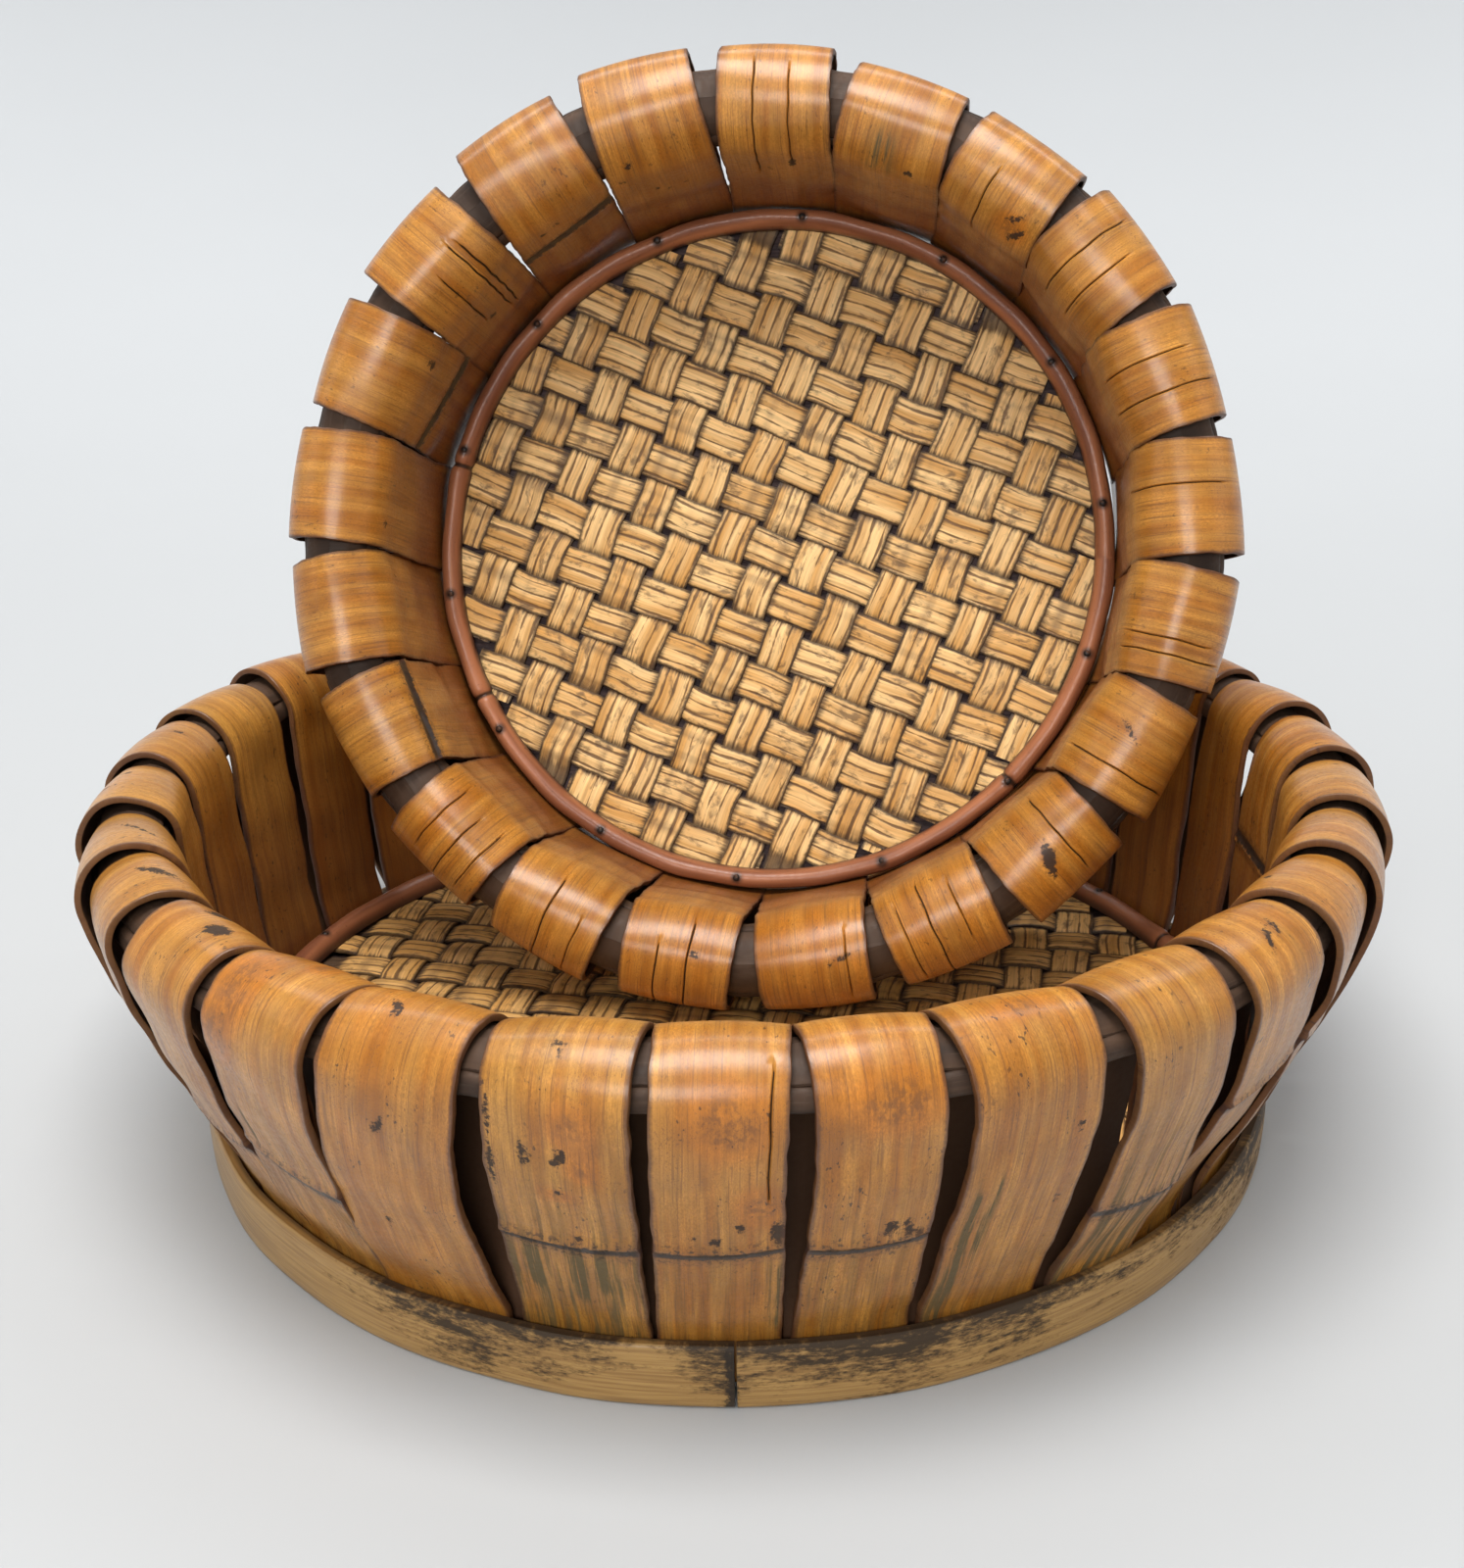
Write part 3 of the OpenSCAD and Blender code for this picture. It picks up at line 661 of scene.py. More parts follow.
    # the inner foot wraps round the base: its edges come in by x^2 / 2r and lose their cup
    wrap = np.clip((shape["wrapFrom"] - along + along[0]) / shape["wrapOver"], 0, 1)[:, None]
    wrap = wrap ** 2 * (3 - 2 * wrap)
    y = y + wrap * (x ** 2 / (2 * r[:, None]) + cup[:, None] * (u ** 2 - 0.33))
    y = y + lift[:, None]
    points = way[:, None] + side[:, None] * x[..., None] + out3[:, None] * y[..., None]
    # fields read by the material
    seedRow = np.full(x.shape, (seed % 97) * 1.37)
    alongRow = np.repeat(along[:, None], x.shape[1], 1)
    spot = np.full(x.shape, 9.0)
    for sx, sy, w, l, tilt in look.get("spots", []):
        dx, dy = x - sx, alongRow - sy
        ca, sa = math.cos(tilt), math.sin(tilt)
        far2 = np.sqrt(((dx * ca + dy * sa) / w) ** 2 + ((dy * ca - dx * sa) / l) ** 2)
        spot = np.minimum(spot, (far2 - 1) * min(w, l))
    crackFar = np.full(x.shape, 9.0)
    for n, c in enumerate(cracks):
        low, high = sorted((c[1], c[2]))
        beyond = np.maximum(0, np.maximum(low - alongRow, alongRow - high))
        gap = np.abs(x - (c[0] + shifts[n])[:, None]) / (0.75 * c[4]) + beyond * 0.6
        crackFar = np.minimum(crackFar, gap)
    crackFar[:, outerX.shape[1]:] = 9.0
    worn = np.clip((alongRow - 25) / 40, 0, 1)
    streak = look.get("dirt", 0.06) * worn + 0.03
    streak = streak + look.get("lowDirt", 0.0) * np.clip((alongRow - knotAt + 1) / 2, 0, 1)
    streak = streak + look.get("leftDirt", 0.0) * np.clip((-u - 0.1) * 2.2, 0, 1) * worn
    for sx, low, high, w, strength in look.get("streaks", []):
        beyond = np.maximum(0, np.maximum(low - alongRow, alongRow - high))
        streak = streak + strength * np.exp(-((x - sx) / w) ** 2 - (beyond / 3) ** 2)
    edge = (hw - np.abs(x)) * np.ones_like(x)
    edge[:, outerX.shape[1]:] = -0.3
    inside = slice(outerX.shape[1] + 5, outerX.shape[1] + 14)
    edge[:, inside] = -1.2
    tone = np.full(x.shape, look.get("tone", dice.uniform(-0.3, 0.4)))
    for sx, sy, w, l in look.get("rusty", []):
        tone = tone + 2.2 * np.exp(-((x - sx) / w) ** 2 - ((alongRow - sy) / l) ** 2)
    knotFar = np.clip(far if knotHard > 0 else np.full(x.shape, 30.0), -30, 30)
    fields = {"strip": np.stack([x, alongRow, seedRow], -1),
              "marks": np.stack([spot, crackFar, streak], -1),
              "knot": np.stack([knotFar, edge, tone], -1)}
    return meshOf(name, basket, points, fields=fields, sharp=24,
                  material=largeSkin if basket["tag"] == "large" else smallSkin)


# degrees: the large slat at the front, how far those at the sides draw towards it,
# the first small slat, and a turn of all the small ones
slatPlaces = {"large": 271.4, "draw": 3.4, "small": 88.9, "turned": 1.2}


def largeAngle(k):
    return slatPlaces["large"] + 12 * k - slatPlaces["draw"] * math.sin(math.radians(12 * k))


for i in range(1, 22):
    name = f"large_slat_{i:02d}"
    piece = makeSlat(largeBasket, "look_" + name, largeAngle(i - 11), largeLooks.get(i, {}),
                     100 + i)
    finishPiece(piece, largeBasket, name)
for g in range(3):
    parts = [makeSlat(largeBasket, f"backPart{g}{k}", largeAngle(11 + 3 * g + k), {},
                      140 + 3 * g + k)
             for k in range(3)]
    name = f"large_back_slats_{g + 1}"
    finishPiece(joined("look_" + name, parts), largeBasket, name)
for i in range(1, 22):
    name = f"small_slat_{i:02d}"
    look = dict(smallLooks.get(i, {}))
    rim = smallLift.get(i, 0.0)
    look.setdefault("reach", (0, 0, 0, rim * 0.6, rim, rim * 0.8, rim * 0.5, rim * 0.2, 0, 0, 0))
    at = slatPlaces["small"] - 360 / 21 * (i - 1) + slatPlaces["turned"]
    off = math.radians(smallTurn[i] - slatPlaces["turned"])
    wave = chance.normal(0, 0.35, 3)
    look["swing"] = (off * 20, off * 75 + wave[0], off * 112, off * 115, off * 118, off * 110,
                     off * 95 + wave[1], off * 80 + wave[2], off * 50, off * 25, off * 15)
    piece = makeSlat(smallBasket, "look_" + name, at, look, 200 + i, rows=150)
    finishPiece(piece, smallBasket, name)
print("slats made")

ringColours = {"light": (0.44, 0.262, 0.086), "deep": (0.29, 0.157, 0.050),
               "black": (0.024, 0.017, 0.012), "brown": (0.085, 0.048, 0.024)}


def ringSkin(colours):
    # yellow-olive bamboo rind, black and brown mottling, most of it on the upper half
    tree, ends = newGroup("ringRind", ("Strip", "Marks"))
    strip, marks = list(ends)[:2]
    joint, skin, dark = apart(tree, marks)
    g = grainFields(tree, strip)
    base = mixed(tree, rise(tree, g["fibre"], 0.30, 0.68), colours["deep"], colours["light"])
    patchy = grown(tree, strip, (0.30, 0.055, 1.0), 5.0, 0.68, 0.5)
    grainy = grown(tree, strip, (1.3, 0.42, 2.0), 5.0, 0.7)
    amount = plus(tree, times(tree, patchy, 0.55), times(tree, grainy, 0.45))
    amount = plus(tree, amount, times(tree, dark, 0.15))
    base = mixed(tree, rise(tree, amount, 0.49, 0.60, 0.0, 0.60), base, colours["brown"])
    base = mixed(tree, rise(tree, amount, 0.56, 0.66, 0.0, 0.85), base, colours["black"])
    ragged = plus(tree, joint, times(tree, minus(tree, g["fine"], 0.5), 5.0))
    base = mixed(tree, rise(tree, ragged, 2.6, 1.2, 0.0, 0.95), base, colours["black"])
    base = mixed(tree, rise(tree, skin, -0.2, -0.8, 0.0, 0.7), base, colours["brown"])
    height = sums(tree, "MULTIPLY_ADD", g["fibre"], 0.10, times(tree, amount, -0.10))
    return endGroup(tree, Colour=base, Roughness=rise(tree, amount, 0.45, 0.62, 0.36, 0.62),
                    Height=height, Gloss=rise(tree, amount, 0.60, 0.45, 0.05, 0.35))


ringMaterial = surface("footRingRind", ringSkin(ringColours), {"Strip": "strip", "Marks": "marks"},
                       bump=0.6)


def bentStrip(basket, name, section, opening, at, seed, material, around=720, wave=0.3,
              flags=None, size=40, cover=None):
    # section: points (distance out, height) of a closed outline, carried round the axis
    # from just past the angle at to just before it; r and z also wander slowly.
    # flags: 1 on the rind, below 0 on the raw inside. cover: mottling by distance round.
    count = len(section)
    reach = section[:, 0].max()
    gap = opening / reach / 2
    turn = np.linspace(gap, 2 * math.pi - gap, around)
    dr = wave * smoothNoise(around, 2 * math.pi * reach, size, seed)
    dz = wave * smoothNoise(around, 2 * math.pi * reach, size, seed + 1)
    r = section[None, :, 0] + dr[:, None]
    z = section[None, :, 1] + dz[:, None]
    a = math.radians(at) + turn[:, None]
    points = np.stack([r * np.cos(a), r * np.sin(a), z * np.ones_like(a)], -1)
    along = (turn * reach)[:, None] * np.ones((1, count))
    joint = np.minimum(turn * reach + 1.9, (2 * math.pi - turn) * reach)[:,
                                                                         None] * np.ones((1,
                                                                                          count))
    skin = np.ones(count) if flags is None else flags
    mid = (section[:, 1] - section[:, 1].mean()) / max(np.ptp(section[:, 1]), 1e-6)
    covered = np.full(around, 0.6) if cover is None else np.interp(along[:, 0], *cover)
    fields = {"strip": np.stack([section[None, :, 1] * np.ones_like(along), along,
                                 np.full(along.shape, seed * 1.7)], -1),
              "marks": np.stack([joint, skin[None] * np.ones_like(along),
                                 1.2 * mid[None] + 1.5 * (covered[:, None] - 0.75)], -1)}
    return meshOf(name, basket, points, fields=fields, material=material, sharp=40)


def ringSection(outer, thick, low, high, ease=0.9, belly=0.35, steps=9):
    # rounded upright strip; its outer face bulges by belly at mid height
    z = np.linspace(low + ease, high - ease, steps)
    bulge = belly * (1 - ((z - (low + high) / 2) / ((high - low) / 2)) ** 2)
    face = np.stack([outer - belly + bulge, z], 1)
    corner = np.radians([20, 45, 70])
    middle = outer - belly - ease
    top = np.stack([middle + ease * np.cos(corner), high - ease + ease * np.sin(corner)], 1)
    inner = np.stack([np.full(3, outer - thick), np.linspace(high - 0.4, low + 0.4, 3)], 1)
    lowEdge = np.stack([middle + ease * np.cos(-corner[::-1]),
                        low + ease + ease * np.sin(-corner[::-1])], 1)
    section = np.concatenate([face, top, inner, lowEdge])
    flags = np.concatenate([np.ones(steps), np.full(3, 0.2), np.full(3, -1.0), np.full(3, 0.2)])
    return section, flags


# how mottled the rind is, by distance in mm from the joint
mottling = ((0, 25, 60, 85, 120, 150, 190, 250, 500, 650, 678, 738, 768, 793, 813, 830, 840, 848),
            (0.9, 1.05, 0.95, 0.6, 0.85, 1.15, 1.1, 0.8, 0.6, 0.3, 0.0, 0.05, 0.6, 1.1, 0.85, 0.5,
             0.95, 1.1))
for basket, seed in ((largeBasket, 11), (smallBasket, 12)):
    section, flags = ringSection(basket["footR"], common["ringT"], 0.0, common["ringH"])
    ring = bentStrip(basket, f"look_{basket['tag']}_foot_ring", section, 0.5, basket["jointAt"],
                     seed,
                     ringMaterial, wave=0.14, flags=flags, size=170, cover=mottling)
    finishPiece(ring, basket, f"{basket['tag']}_foot_ring")

hoopColours = {"light": (0.080, 0.044, 0.026), "deep": (0.036, 0.021, 0.014),
               "dust": (0.115, 0.074, 0.050)}


def hoopSkin(colours):
    tree, ends = newGroup("hoopWood", ("Strip",))
    g = grainFields(tree, ends[0])
    base = mixed(tree, rise(tree, g["broad"], 0.3, 0.7), colours["deep"], colours["light"])
    base = mixed(tree, rise(tree, g["fibre"], 0.55, 0.75, 0.0, 0.5), base, colours["dust"])
    return endGroup(tree, Colour=base, Roughness=rise(tree, g["fine"], 0.3, 0.7, 0.50, 0.72),
                    Height=times(tree, g["fibre"], 0.12))


hoopMaterial = surface("rimHoopWood", hoopSkin(hoopColours), {"Strip": "strip"}, bump=0.5)


def hoopSection(basket, low, high, radius, steps=9):
    # the part of a round rod between two heights from its middle, its corners eased
    rollC, rollZ = basket["rimR"] - basket["rollR"], basket["high"] - basket["rollR"]
    z = np.linspace(low, high, steps)
    ease = 0.5 * np.clip(np.abs((z - (low + high) / 2) / ((high - low) / 2)), 0, 1) ** 8
    half = np.sqrt(np.maximum(0.3, radius ** 2 - z ** 2)) - ease
    over = np.linspace(0.8, -0.8, 5)
    top = np.stack([over * half[-1], high + 0.06 * (1 - over ** 2)], 1)
    under = np.stack([-over * half[0], low - 0.06 * (1 - over ** 2)], 1)
    section = np.concatenate([np.stack([half, z], 1), top, np.stack([-half[::-1], z[::-1]], 1),
                              under])
    return section + np.array([rollC, rollZ])


hoops = {"large": {"radius": 8.7, "high": 9.5}, "small": {"radius": 9.4, "high": 11.0}}
for basket, seed in ((largeBasket, 21), (smallBasket, 22)):
    look = hoops[basket["tag"]]
    seam = look["radius"] - look["high"] / 2
    upper = bentStrip(basket, "hoopUpper",
                      hoopSection(basket, seam + 0.12, look["radius"], look["radius"]),
                      0.6, 20, seed, hoopMaterial, wave=0.22, size=70)
    lower = bentStrip(basket, "hoopLower",
                      hoopSection(basket, look["radius"] - look["high"], seam - 0.12,
                                  look["radius"] + 0.15),
                      0.6, 200, seed + 3, hoopMaterial, wave=0.22, size=70)
    finishPiece(joined(f"look_{basket['tag']}_rim_hoop", [upper, lower]), basket,
                f"{basket['tag']}_rim_hoop")
print("rings and hoops made")

caneColours = {"light": (0.40, 0.150, 0.066), "deep": (0.20, 0.066, 0.030),
               "black": (0.018, 0.012, 0.010),
               "worn": (0.42, 0.22, 0.12)}


def caneSkin(colours):
    tree, ends = newGroup("caneRind", ("Strip", "Marks"))
    strip, marks = list(ends)[:2]
    joint, tack, low = apart(tree, marks)
    g = grainFields(tree, strip)
    base = mixed(tree, rise(tree, g["broad"], 0.3, 0.7), colours["deep"], colours["light"])
    base = mixed(tree, rise(tree, g["hair"], 0.60, 0.80, 0.0, 0.45), base, colours["worn"])
    base = mixed(tree, rise(tree, g["fine"], 0.60, 0.74, 0.0, 0.55), base, colours["black"])
    base = mixed(tree, rise(tree, joint, 1.0, 0.25, 0.0, 0.9), base, colours["black"])
    base = mixed(tree, rise(tree, tack, 2.4, 0.8, 0.0, 0.85), base, colours["black"])
    # painted shade: the cane's sides turn black towards its foot on the mat
    base = mixed(tree, rise(tree, low, 0.75, 0.05, 0.0, 0.8), base, colours["black"])
    height = sums(tree, "MULTIPLY_ADD", g["fibre"], 0.10, times(tree, g["fine"], 0.10))
    return endGroup(tree, Colour=base, Roughness=rise(tree, g["fine"], 0.3, 0.7, 0.34, 0.52),
                    Height=height, Gloss=rise(tree, g["fine"], 0.7, 0.3, 0.1, 0.4))


caneMaterial = surface("matCaneRind", caneSkin(caneColours), {"Strip": "strip", "Marks": "marks"},
                       bump=0.6)
canes = {"large": {"joints": (130.0, 262.0, 20.0), "width": 5.8, "height": 4.7},
         "small": {"joints": (166.0, 208.0, 318.0), "width": 5.6, "height": 4.8}}
tacking = {"count": 14, "first": 9}


def makeCane(basket, look, seed, around=900, count=22):
    # half round section: distance out r = w/2 cos(a), height h sin(a)^0.8, flat below;
    # w and h wander along, and shrink in a short groove at each joint
    turn = np.linspace(0, 2 * math.pi, around, endpoint=False)
    a = np.linspace(0, math.pi, count - 5)
    x = np.concatenate([np.cos(a), np.linspace(-0.7, 0.7, 5)])
    z = np.concatenate([np.sin(a) ** 0.8, np.full(5, -0.02)])
    dice = np.random.default_rng(seed)
    waves = [(k, dice.uniform(0, 6.28), 0.5) for k in (3, 7, 11, 17, 29)]
    slow = sum(w * np.sin(k * turn + p) for k, p, w in waves)
    far = np.full(around, 50.0)
    for at in look["joints"]:
        d = np.abs((turn - math.radians(at) + math.pi) % (2 * math.pi) - math.pi) * basket["caneR"]
        far = np.minimum(far, d)
    size = (1 + 0.035 * slow - 0.16 * np.exp(-(far / 0.9) ** 2)
            + 0.05 * np.exp(-((far - 3) / 2.5) ** 2))
    r = basket["caneR"] + look["width"] / 2 * x[None] * size[:, None] + 0.15 * slow[:, None]
    h = common["matTop"] + look["height"] * z[None] * size[:, None]
    points = np.stack([r * np.cos(turn)[:, None], r * np.sin(turn)[:, None], h], -1)
    tackTurn = np.radians(360 / tacking["count"] * np.arange(tacking["count"]) + tacking["first"])
    tackFar = np.min(np.abs((turn[:, None] - tackTurn[None] + math.pi) % (2 * math.pi) - math.pi),
                     axis=1) * basket["caneR"]
    tackFar = np.sqrt(tackFar[:, None] ** 2 + (look["width"] / 2 * x[None]) ** 2)
    along = (turn * basket["caneR"])[:, None] * np.ones((1, count))
    across = np.concatenate([a * 2.8, np.linspace(9, 12, 5)])[None] * np.ones_like(along)
    # marks: distance to a joint, distance to a tack, and height up the side, which the material
    # uses for painted shade at the foot
    fields = {"strip": np.stack([across, along, np.full(along.shape, seed * 3.1)], -1),
              "marks": np.stack([far[:, None] * np.ones_like(along), tackFar,
                                 z[None] * np.ones_like(along)], -1)}
    return meshOf(f"look_{basket['tag']}_cane", basket, points, closed=True, fields=fields,
                  material=caneMaterial, sharp=50)


tackColours = {"iron": (0.030, 0.026, 0.024), "rust": (0.10, 0.045, 0.025)}


def tackSkin(colours):
    tree, ends = newGroup("tackIron", ("Place",))
    spots = cloud(tree, ends[0], 900.0, 3.0, 0.6)
    base = mixed(tree, rise(tree, spots, 0.45, 0.65), colours["iron"], colours["rust"])
    return endGroup(tree, Colour=base, Roughness=rise(tree, spots, 0.3, 0.7, 0.38, 0.62),
                    Height=times(tree, spots, 0.10))


tackMaterial = surface("tackIron", tackSkin(tackColours), {"Place": "place"}, bump=0.5,
                       fixed={"Metallic": 0.7})


def makeTacks(basket, look):
    # a low dome of radius 1.05 on a short shank, turned from a profile: 9 rows of 12
    profile = np.array([[0.02, 0.62], [0.35, 0.60], [0.65, 0.50], [0.90, 0.30], [1.05, 0.05],
                        [1.0, -0.10], [0.55, -0.16], [0.5, -1.6], [0.1, -2.0]])
    spin = np.linspace(0, 2 * math.pi, 12, endpoint=False)
    made = []
    for k in range(tacking["count"]):
        a = math.radians(360 / tacking["count"] * k + tacking["first"])
        centre = np.array([basket["caneR"] * math.cos(a), basket["caneR"] * math.sin(a),
                           common["matTop"] + look["height"] - 0.25])
        x = profile[:, :1] * np.cos(spin)[None]
        y = profile[:, :1] * np.sin(spin)[None]
        z = profile[:, 1:] * np.ones((1, 12))
        points = np.stack([x, y, z], -1) + centre
        made.append(meshOf(f"tack{k}", basket, points, fields={"place": points * 0.001},
                           material=tackMaterial))
    return joined(f"look_{basket['tag']}_tacks", made)


for basket, seed in ((largeBasket, 31), (smallBasket, 32)):
    tag = basket["tag"]
    finishPiece(makeCane(basket, canes[tag], seed), basket, f"{tag}_cane")
    finishPiece(makeTacks(basket, canes[tag]), basket, f"{tag}_tacks")
print("canes and tacks made")

boardColours = {"deep": (0.022, 0.013, 0.014), "light": (0.070, 0.042, 0.040)}


def boardSkin(colours):
    tree, ends = newGroup("boardWood", ("Place",))
    long = grown(tree, ends[0], (60, 900, 300), 5.0, 0.6)
    fine = cloud(tree, ends[0], 500.0, 4.0, 0.6)
    base = mixed(tree, rise(tree, long, 0.35, 0.7), colours["deep"], colours["light"])
    return endGroup(tree, Colour=base, Roughness=rise(tree, fine, 0.3, 0.7, 0.62, 0.85),
                    Height=times(tree, long, 0.2))


boardMaterial = surface("baseBoardWood", boardSkin(boardColours), {"Place": "place"}, bump=0.4)


def makeBoard(basket):
    # a disc turned from a profile with a rounded edge; both faces dip by a slow wave
    reach, low, high = basket["boardR"], common["boardZ"], common["matZ"]
    r = np.concatenate([np.linspace(0.02, 1, 14) * (reach - 0.8),
                        [reach - 0.3, reach, reach, reach - 0.3],
                        np.linspace(1, 0.02, 14) * (reach - 0.8)])
    z = np.concatenate([np.full(14, low), [low + 0.1, low + 0.8, high - 0.8, high - 0.1],
                        np.full(14, high)])
    spin = np.linspace(0, 2 * math.pi, 120, endpoint=False)
    x, y = r[:, None] * np.cos(spin)[None], r[:, None] * np.sin(spin)[None]
    height = z[:, None] - 0.08 * (1 + np.sin(x / 17) * np.cos(y / 21)) * (r[:, None] < reach - 1)
    points = np.stack([x, y, height * np.ones_like(x)], -1)
    return meshOf(f"look_{basket['tag']}_base_board", basket, points,
                  fields={"place": points * 0.001},
                  material=boardMaterial, sharp=40)


matColours = {"straw": (0.90, 0.60, 0.27), "amber": (0.60, 0.31, 0.085),
              "groove": (0.125, 0.060, 0.025),
              # dirt: real dirt and stains, and also the painted shade where a splint dives under
              "dirt": (0.085, 0.048, 0.026), "black": (0.025, 0.015, 0.011)}


def matSkin(colours):
    tree, ends = newGroup("splintSkin", ("Strip", "Marks"), (("Amber", 0.0), ("PaintedShade", 1.0)))
    strip, marks, amber, paintedShadeAmount = list(ends)[:4]
    across, along, seed = apart(tree, strip)
    over, edge, tone = apart(tree, marks)
    g = grainFields(tree, strip)
    base = mixed(tree, rise(tree, g["broad"], 0.3, 0.7), colours["amber"], colours["straw"])
    base = mixed(tree, times(tree, amber, 0.8), base, colours["amber"])
    base = mixed(tree, rise(tree, tone, 0.2, 1.0, 0.0, 0.55), base, colours["dirt"])
    # dark grooves along the splint, and painted shade where it dives under the crossing splint
    # groove: |sin(pi (across / 3.3 + seed + wander))| near zero
    wide = grown(tree, strip, (0.30, 0.09, 6.1), 4.0, 0.6, 0.3)
    drift = grown(tree, strip, (0.0, 0.03, 4.1), 2.0, 0.5)
    phase = sums(tree, "MULTIPLY_ADD", across, 0.303, sums(tree, "MULTIPLY_ADD", drift, 0.7, seed))
    valley = sums(tree, "ABSOLUTE", sums(tree, "SINE", times(tree, phase, math.pi)))
    ragged = sums(tree, "MULTIPLY_ADD", minus(tree, g["fibre"], 0.5), 0.55,
                  sums(tree, "MULTIPLY_ADD", minus(tree, wide, 0.5), -1.5, valley))
    lines = rise(tree, ragged, 0.42, 0.06)
    base = mixed(tree, times(tree, lines, 0.88), base, colours["groove"])
    # painted shade: darker where the splint dips under its crossing neighbour
    diveShadeMask = plus(tree, over, times(tree, minus(tree, g["fibre"], 0.5), 0.9))
    base = mixed(tree, times(tree, rise(tree, diveShadeMask, 0.72, 0.20), paintedShadeAmount, clamp=True),
                 base, colours["dirt"])
    stain = grown(tree, strip, (0.35, 0.16, 8.0), 5.0, 0.65, 0.4)
    base = mixed(tree, rise(tree, stain, 0.52, 0.68, 0.0, 0.68), base, colours["dirt"])
    base = mixed(tree, rise(tree, minus(tree, edge, times(tree, g["fine"], 0.8)), 0.5, -0.2,
                            0.0, 0.85), base, colours["black"])
    shade = rise(tree, g["fibre"], 0.25, 0.75, 0.74, 1.16)
    base = shaded(tree, base, shade)
    height = minus(tree, times(tree, g["fibre"], 0.18), times(tree, lines, 0.22))
    return endGroup(tree, Colour=base, Roughness=rise(tree, g["fine"], 0.3, 0.7, 0.42, 0.62),
                    Height=height)


matGroup = matSkin(matColours)
matMaterials = {
    "large": surface("largeMatSplint", matGroup,
                     {"Strip": "strip", "Marks": "marks", "Amber": 0.85, "PaintedShade": 1.0},
                     bump=0.6),
    "small": surface("smallMatSplint", matGroup,
                     {"Strip": "strip", "Marks": "marks", "Amber": 0.15, "PaintedShade": 0.85},
                     bump=0.6)}
# flat: power that flattens the wave, rib: height of a rib, ribsPerMm: across, sag: of the edges
mat = {"pitch": 12.1, "width": 10.2, "thick": 0.95, "wave": 0.62, "flat": 0.32, "rib": 0.13,
       "ribsPerMm": 0.303, "sag": 0.32}


def makeMat(basket, across, seed):
    # splints over one and under one: height = middle + wave * sign(c) |c|^flat with
    # c = cos(pi x / pitch), opposite ways for odd and even splints
    pitch, reach0 = mat["pitch"], basket["matR"]
    count = int((reach0 - mat["width"] / 2) // pitch)
    turn = math.radians(basket["weaveTurn"] + 90 * across)
    middle = (common["matZ"] + common["matTop"]) / 2
    dice = np.random.default_rng(seed)
    made = []
    for k in range(-count, count + 1):
        reach = math.sqrt(reach0 ** 2 - (abs(k * pitch) + mat["width"] / 2) ** 2)
        if reach < pitch:
            continue
        rows = int(reach * 2 / pitch * 9) + 8
        x = np.linspace(-reach, reach, rows)
        c = np.cos(math.pi * x / pitch) * (1 if (abs(k) + across) % 2 == 0 else -1)
        h = np.sign(c) * np.abs(c) ** mat["flat"]
        h = softened(h, 1) * mat["wave"]
        width = mat["width"] * (1 + dice.normal(0, 0.025)) + 0.25 * smoothNoise(rows, reach * 2,
                                                                                50, seed + k)
        shift = dice.normal(0, 0.25) + 0.3 * smoothNoise(rows, reach * 2, 90, seed + 40 + k)
        u = np.concatenate([np.linspace(-1, 1, 19), [1.02], np.linspace(0.9, -0.9, 4), [-1.02]])
        top = np.concatenate([np.full(19, 0.5), [0.0], np.full(4, -0.5), [0.0]])
        top = top * mat["thick"]
        seedHere = (seed * 7 + k) * 2.31 % 91
        phase = u * (mat["width"] / 2) * mat["ribsPerMm"] + seedHere + 0.35
        ribs = mat["rib"] * (np.abs(np.sin(math.pi * phase)) - 0.6) * (top > 0)
        sag = -mat["sag"] * np.abs(u) ** 3 * (top >= 0)
        y = shift[:, None] + width[:, None] / 2 * u[None]
        z = middle + h[:, None] + (top + ribs + sag)[None] + dice.normal(0, 0.03)
        px, py = x[:, None] * np.ones_like(y), y + k * pitch
        points = np.stack([px * math.cos(turn) - py * math.sin(turn),
                           px * math.sin(turn) + py * math.cos(turn), z * np.ones_like(px)], -1)
        # over: how high the splint rides in the weave; low where it dives under, where the
        # material paints shade
        over = np.clip(0.5 + 0.5 * h / mat["wave"], 0, 1)[:, None] * np.ones_like(y)
        edge = (1 - np.abs(u))[None] * width[:, None] / 2
        edge = np.where(top[None] > 0, edge, -0.5)
        seedRow = np.full(y.shape, seedHere)
        drift = 0.45 * smoothNoise(rows, reach * 2, 30, seed + k + 9)[:, None]
        tone = np.full(y.shape, dice.uniform(-0.5, 0.5)) + drift
        fields = {"strip": np.stack([y - shift[:, None], px, seedRow], -1),
                  "marks": np.stack([over, edge, tone], -1)}
        made.append(meshOf(f"splint{k}", basket, points, fields=fields,
                           material=matMaterials[basket["tag"]],
                           sharp=60))
    return joined(f"look_{basket['tag']}_mat_{'weft' if across else 'warp'}", made)


for basket, seed in ((largeBasket, 61), (smallBasket, 62)):
    tag = basket["tag"]
    finishPiece(makeBoard(basket), basket, f"{tag}_base_board")
    finishPiece(makeMat(basket, 0, seed), basket, f"{tag}_mat_warp")
    finishPiece(makeMat(basket, 1, seed + 5), basket, f"{tag}_mat_weft")
print("boards and mats made")

# metres
floorLook = {"radius": 3.2, "curve": 2.3, "top": 2.6, "colour": (0.455, 0.466, 0.475),
             "rough": 0.9, "specular": 0.1}


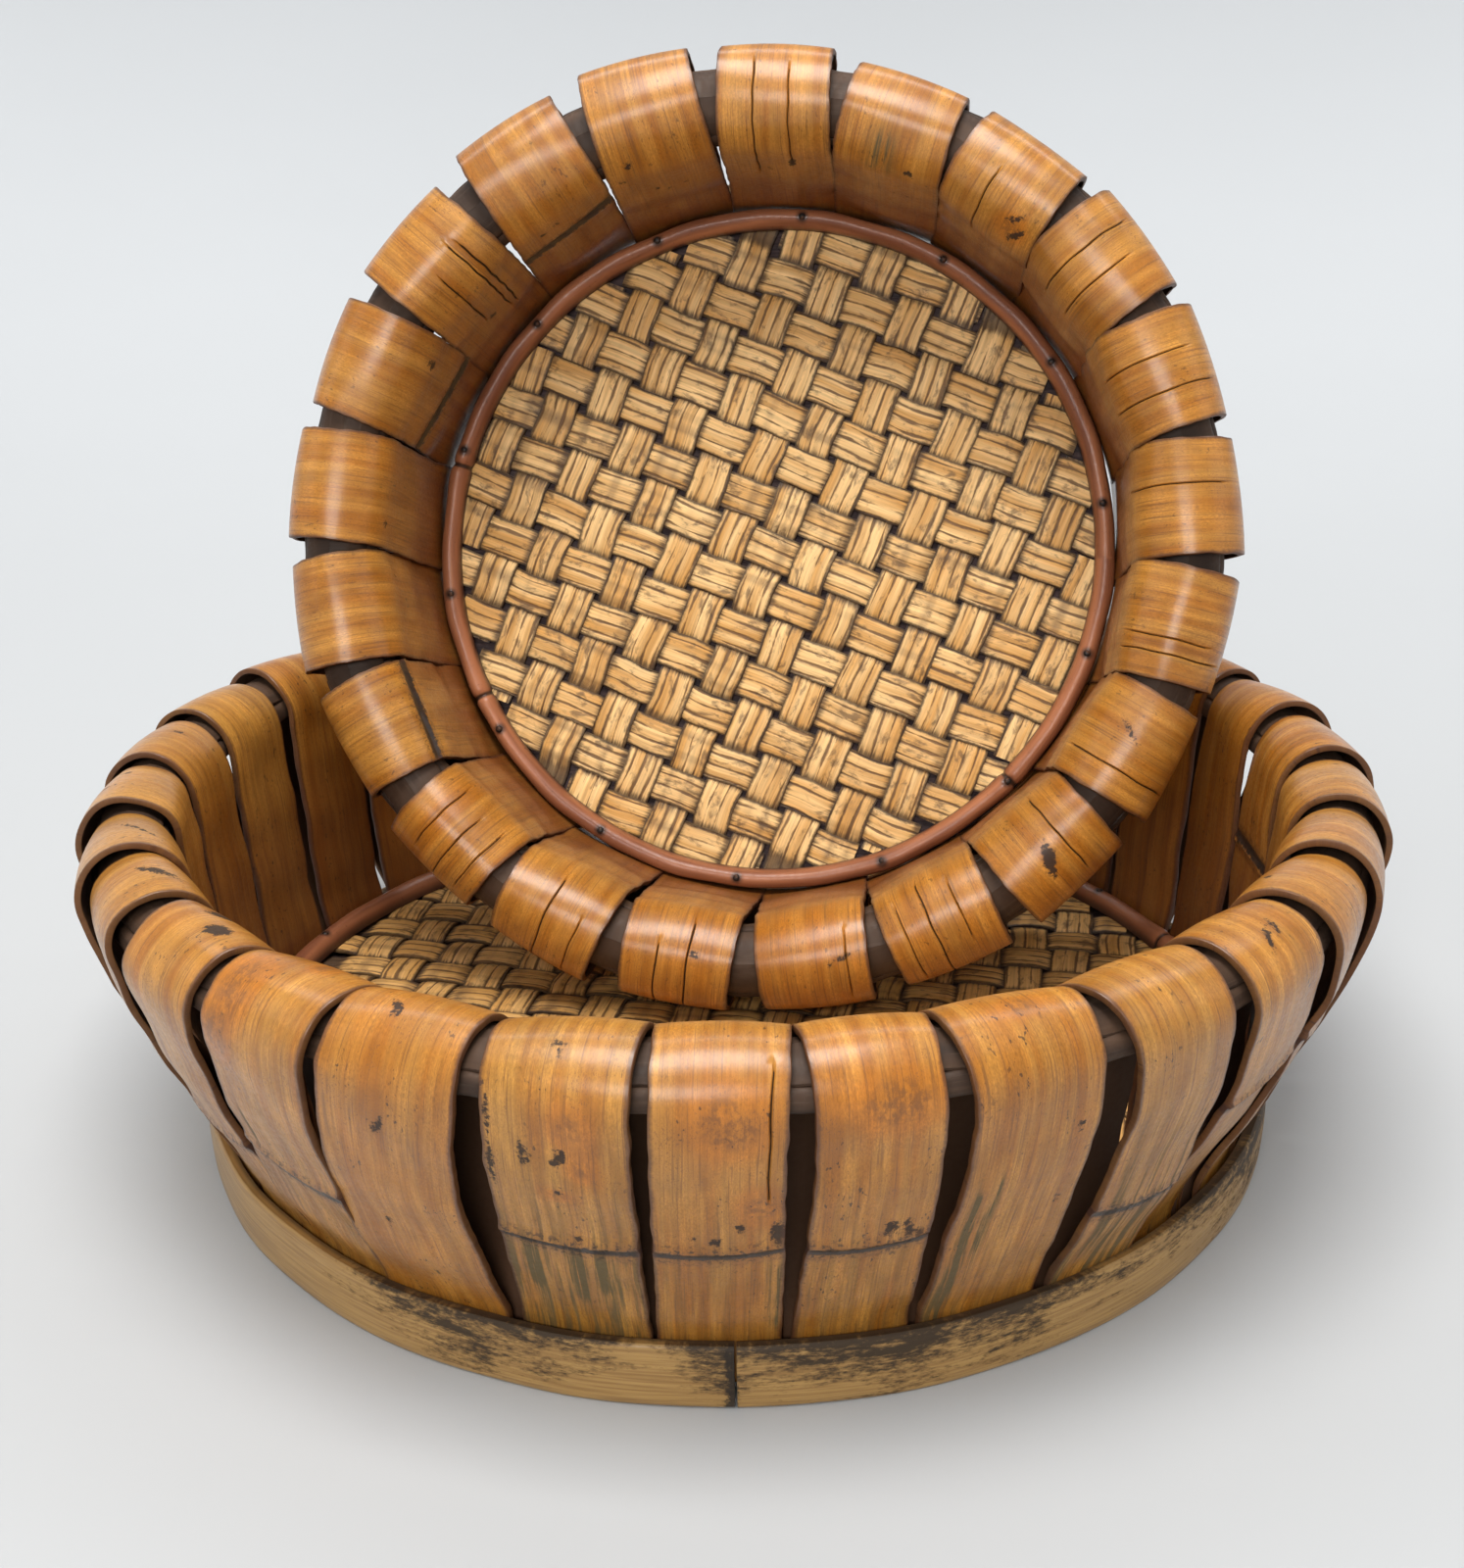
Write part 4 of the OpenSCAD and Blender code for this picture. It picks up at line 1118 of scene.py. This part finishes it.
def makeFloor(look):
    # turned from a profile: flat out to radius - curve, then a quarter circle upwards
    a = np.linspace(0, math.pi / 2, 24)
    flat = np.linspace(0.001, look["radius"] - look["curve"], 24)
    r = np.concatenate([flat, look["radius"] - look["curve"] + look["curve"] * np.sin(a[1:]),
                        [look["radius"]]])
    z = np.concatenate([np.zeros(24), look["curve"] * (1 - np.cos(a[1:])), [look["top"]]])
    spin = np.linspace(0, 2 * math.pi, 96, endpoint=False)
    points = np.stack([r[:, None] * np.cos(spin), r[:, None] * np.sin(spin),
                       z[:, None] * np.ones((1, 96))], -1)
    material = bpy.data.materials.new("floorPaper")
    material.use_nodes = True
    tree = material.node_tree
    shader = tree.nodes["Principled BSDF"]
    place = tree.nodes.new("ShaderNodeTexCoord").outputs["Object"]
    soft = cloud(tree, place, 3.0, 2.0, 0.5)
    plug(tree, shader.inputs["Base Color"],
         mixed(tree, rise(tree, soft, 0.2, 0.8), tuple(c * 0.985 for c in look["colour"]),
               look["colour"]))
    shader.inputs["Roughness"].default_value = look["rough"]
    shader.inputs["Specular IOR Level"].default_value = look["specular"]
    rows, ring = points.shape[:2]
    index = np.arange(rows * ring).reshape(rows, ring)
    after = np.roll(index, -1, axis=1)
    quads = np.stack([index[:-1], after[:-1], after[1:], index[1:]], -1).reshape(-1, 4)[:, ::-1]
    mesh = bpy.data.meshes.new("floor")
    mesh.from_pydata(points.reshape(-1, 3).tolist(), [], quads.tolist() + [index[0].tolist()])
    mesh.update()
    mesh.polygons.foreach_set("use_smooth", np.ones(len(mesh.polygons), bool))
    floor = bpy.data.objects.new("floor", mesh)
    mesh.materials.append(material)
    bpy.context.scene.collection.objects.link(floor)


makeFloor(floorLook)

lampTints = {"warm": (1.0, 0.985, 0.96), "mild": (1.0, 0.985, 0.965), "cool": (0.98, 0.99, 1.0),
             "plain": (0.99, 0.995, 1.0)}
# in metres and watts: place, point it faces, size, power and tint
lamps = {
    "topBox": ((-0.05, -0.30, 1.22), (0, 0, 0.05), (0.70, 0.55), 16.0, "warm"),
    "frontBox": ((-0.15, -1.30, 0.72), (0, 0, 0.12), (0.70, 0.38), 9.0, "mild"),
    "leftBox": ((-1.15, -0.25, 0.70), (0, 0, 0.08), (0.7, 0.7), 1.2, "cool"),
    "rightBox": ((1.15, -0.20, 0.70), (0, 0, 0.08), (0.7, 0.7), 1.2, "cool"),
    "backdropBox": ((0.0, 0.75, 1.50), (0, 2.1, 0.20), (2.6, 0.5), 46.0, "plain"),
    "leftBackdropBox": ((-1.0, 0.0, 1.60), (-2.7, 0.0, 0.40), (2.4, 0.5), 16.0, "plain"),
    "rightBackdropBox": ((1.0, 0.0, 1.60), (2.7, 0.0, 0.40), (2.4, 0.5), 16.0, "plain"),
    "frontBackdropBox": ((0.0, -1.0, 1.70), (0.0, -2.7, 0.40), (2.4, 0.5), 16.0, "plain")}


def makeLamp(name, at, aim, size, power, tint):
    data = bpy.data.lights.new(name, "AREA")
    data.shape = "RECTANGLE"
    data.size, data.size_y = size
    data.energy = power
    data.color = lampTints[tint]
    lamp = bpy.data.objects.new(name, data)
    lamp.location = at
    lamp.rotation_euler = (Vector(aim) - Vector(at)).to_track_quat("-Z", "Y").to_euler()
    lamp.visible_camera = False
    bpy.context.scene.collection.objects.link(lamp)


for name, values in lamps.items():
    makeLamp(name, *values)
air = {"colour": (0.95, 0.97, 1.0, 1.0), "strength": 0.16}
world = bpy.data.worlds.new("studioAir")
world.use_nodes = True
glow = world.node_tree.nodes["Background"].inputs
glow["Color"].default_value = air["colour"]
glow["Strength"].default_value = air["strength"]
bpy.context.scene.world = world
bpy.context.scene.view_settings.view_transform = "Standard"
print("floor and lights made")
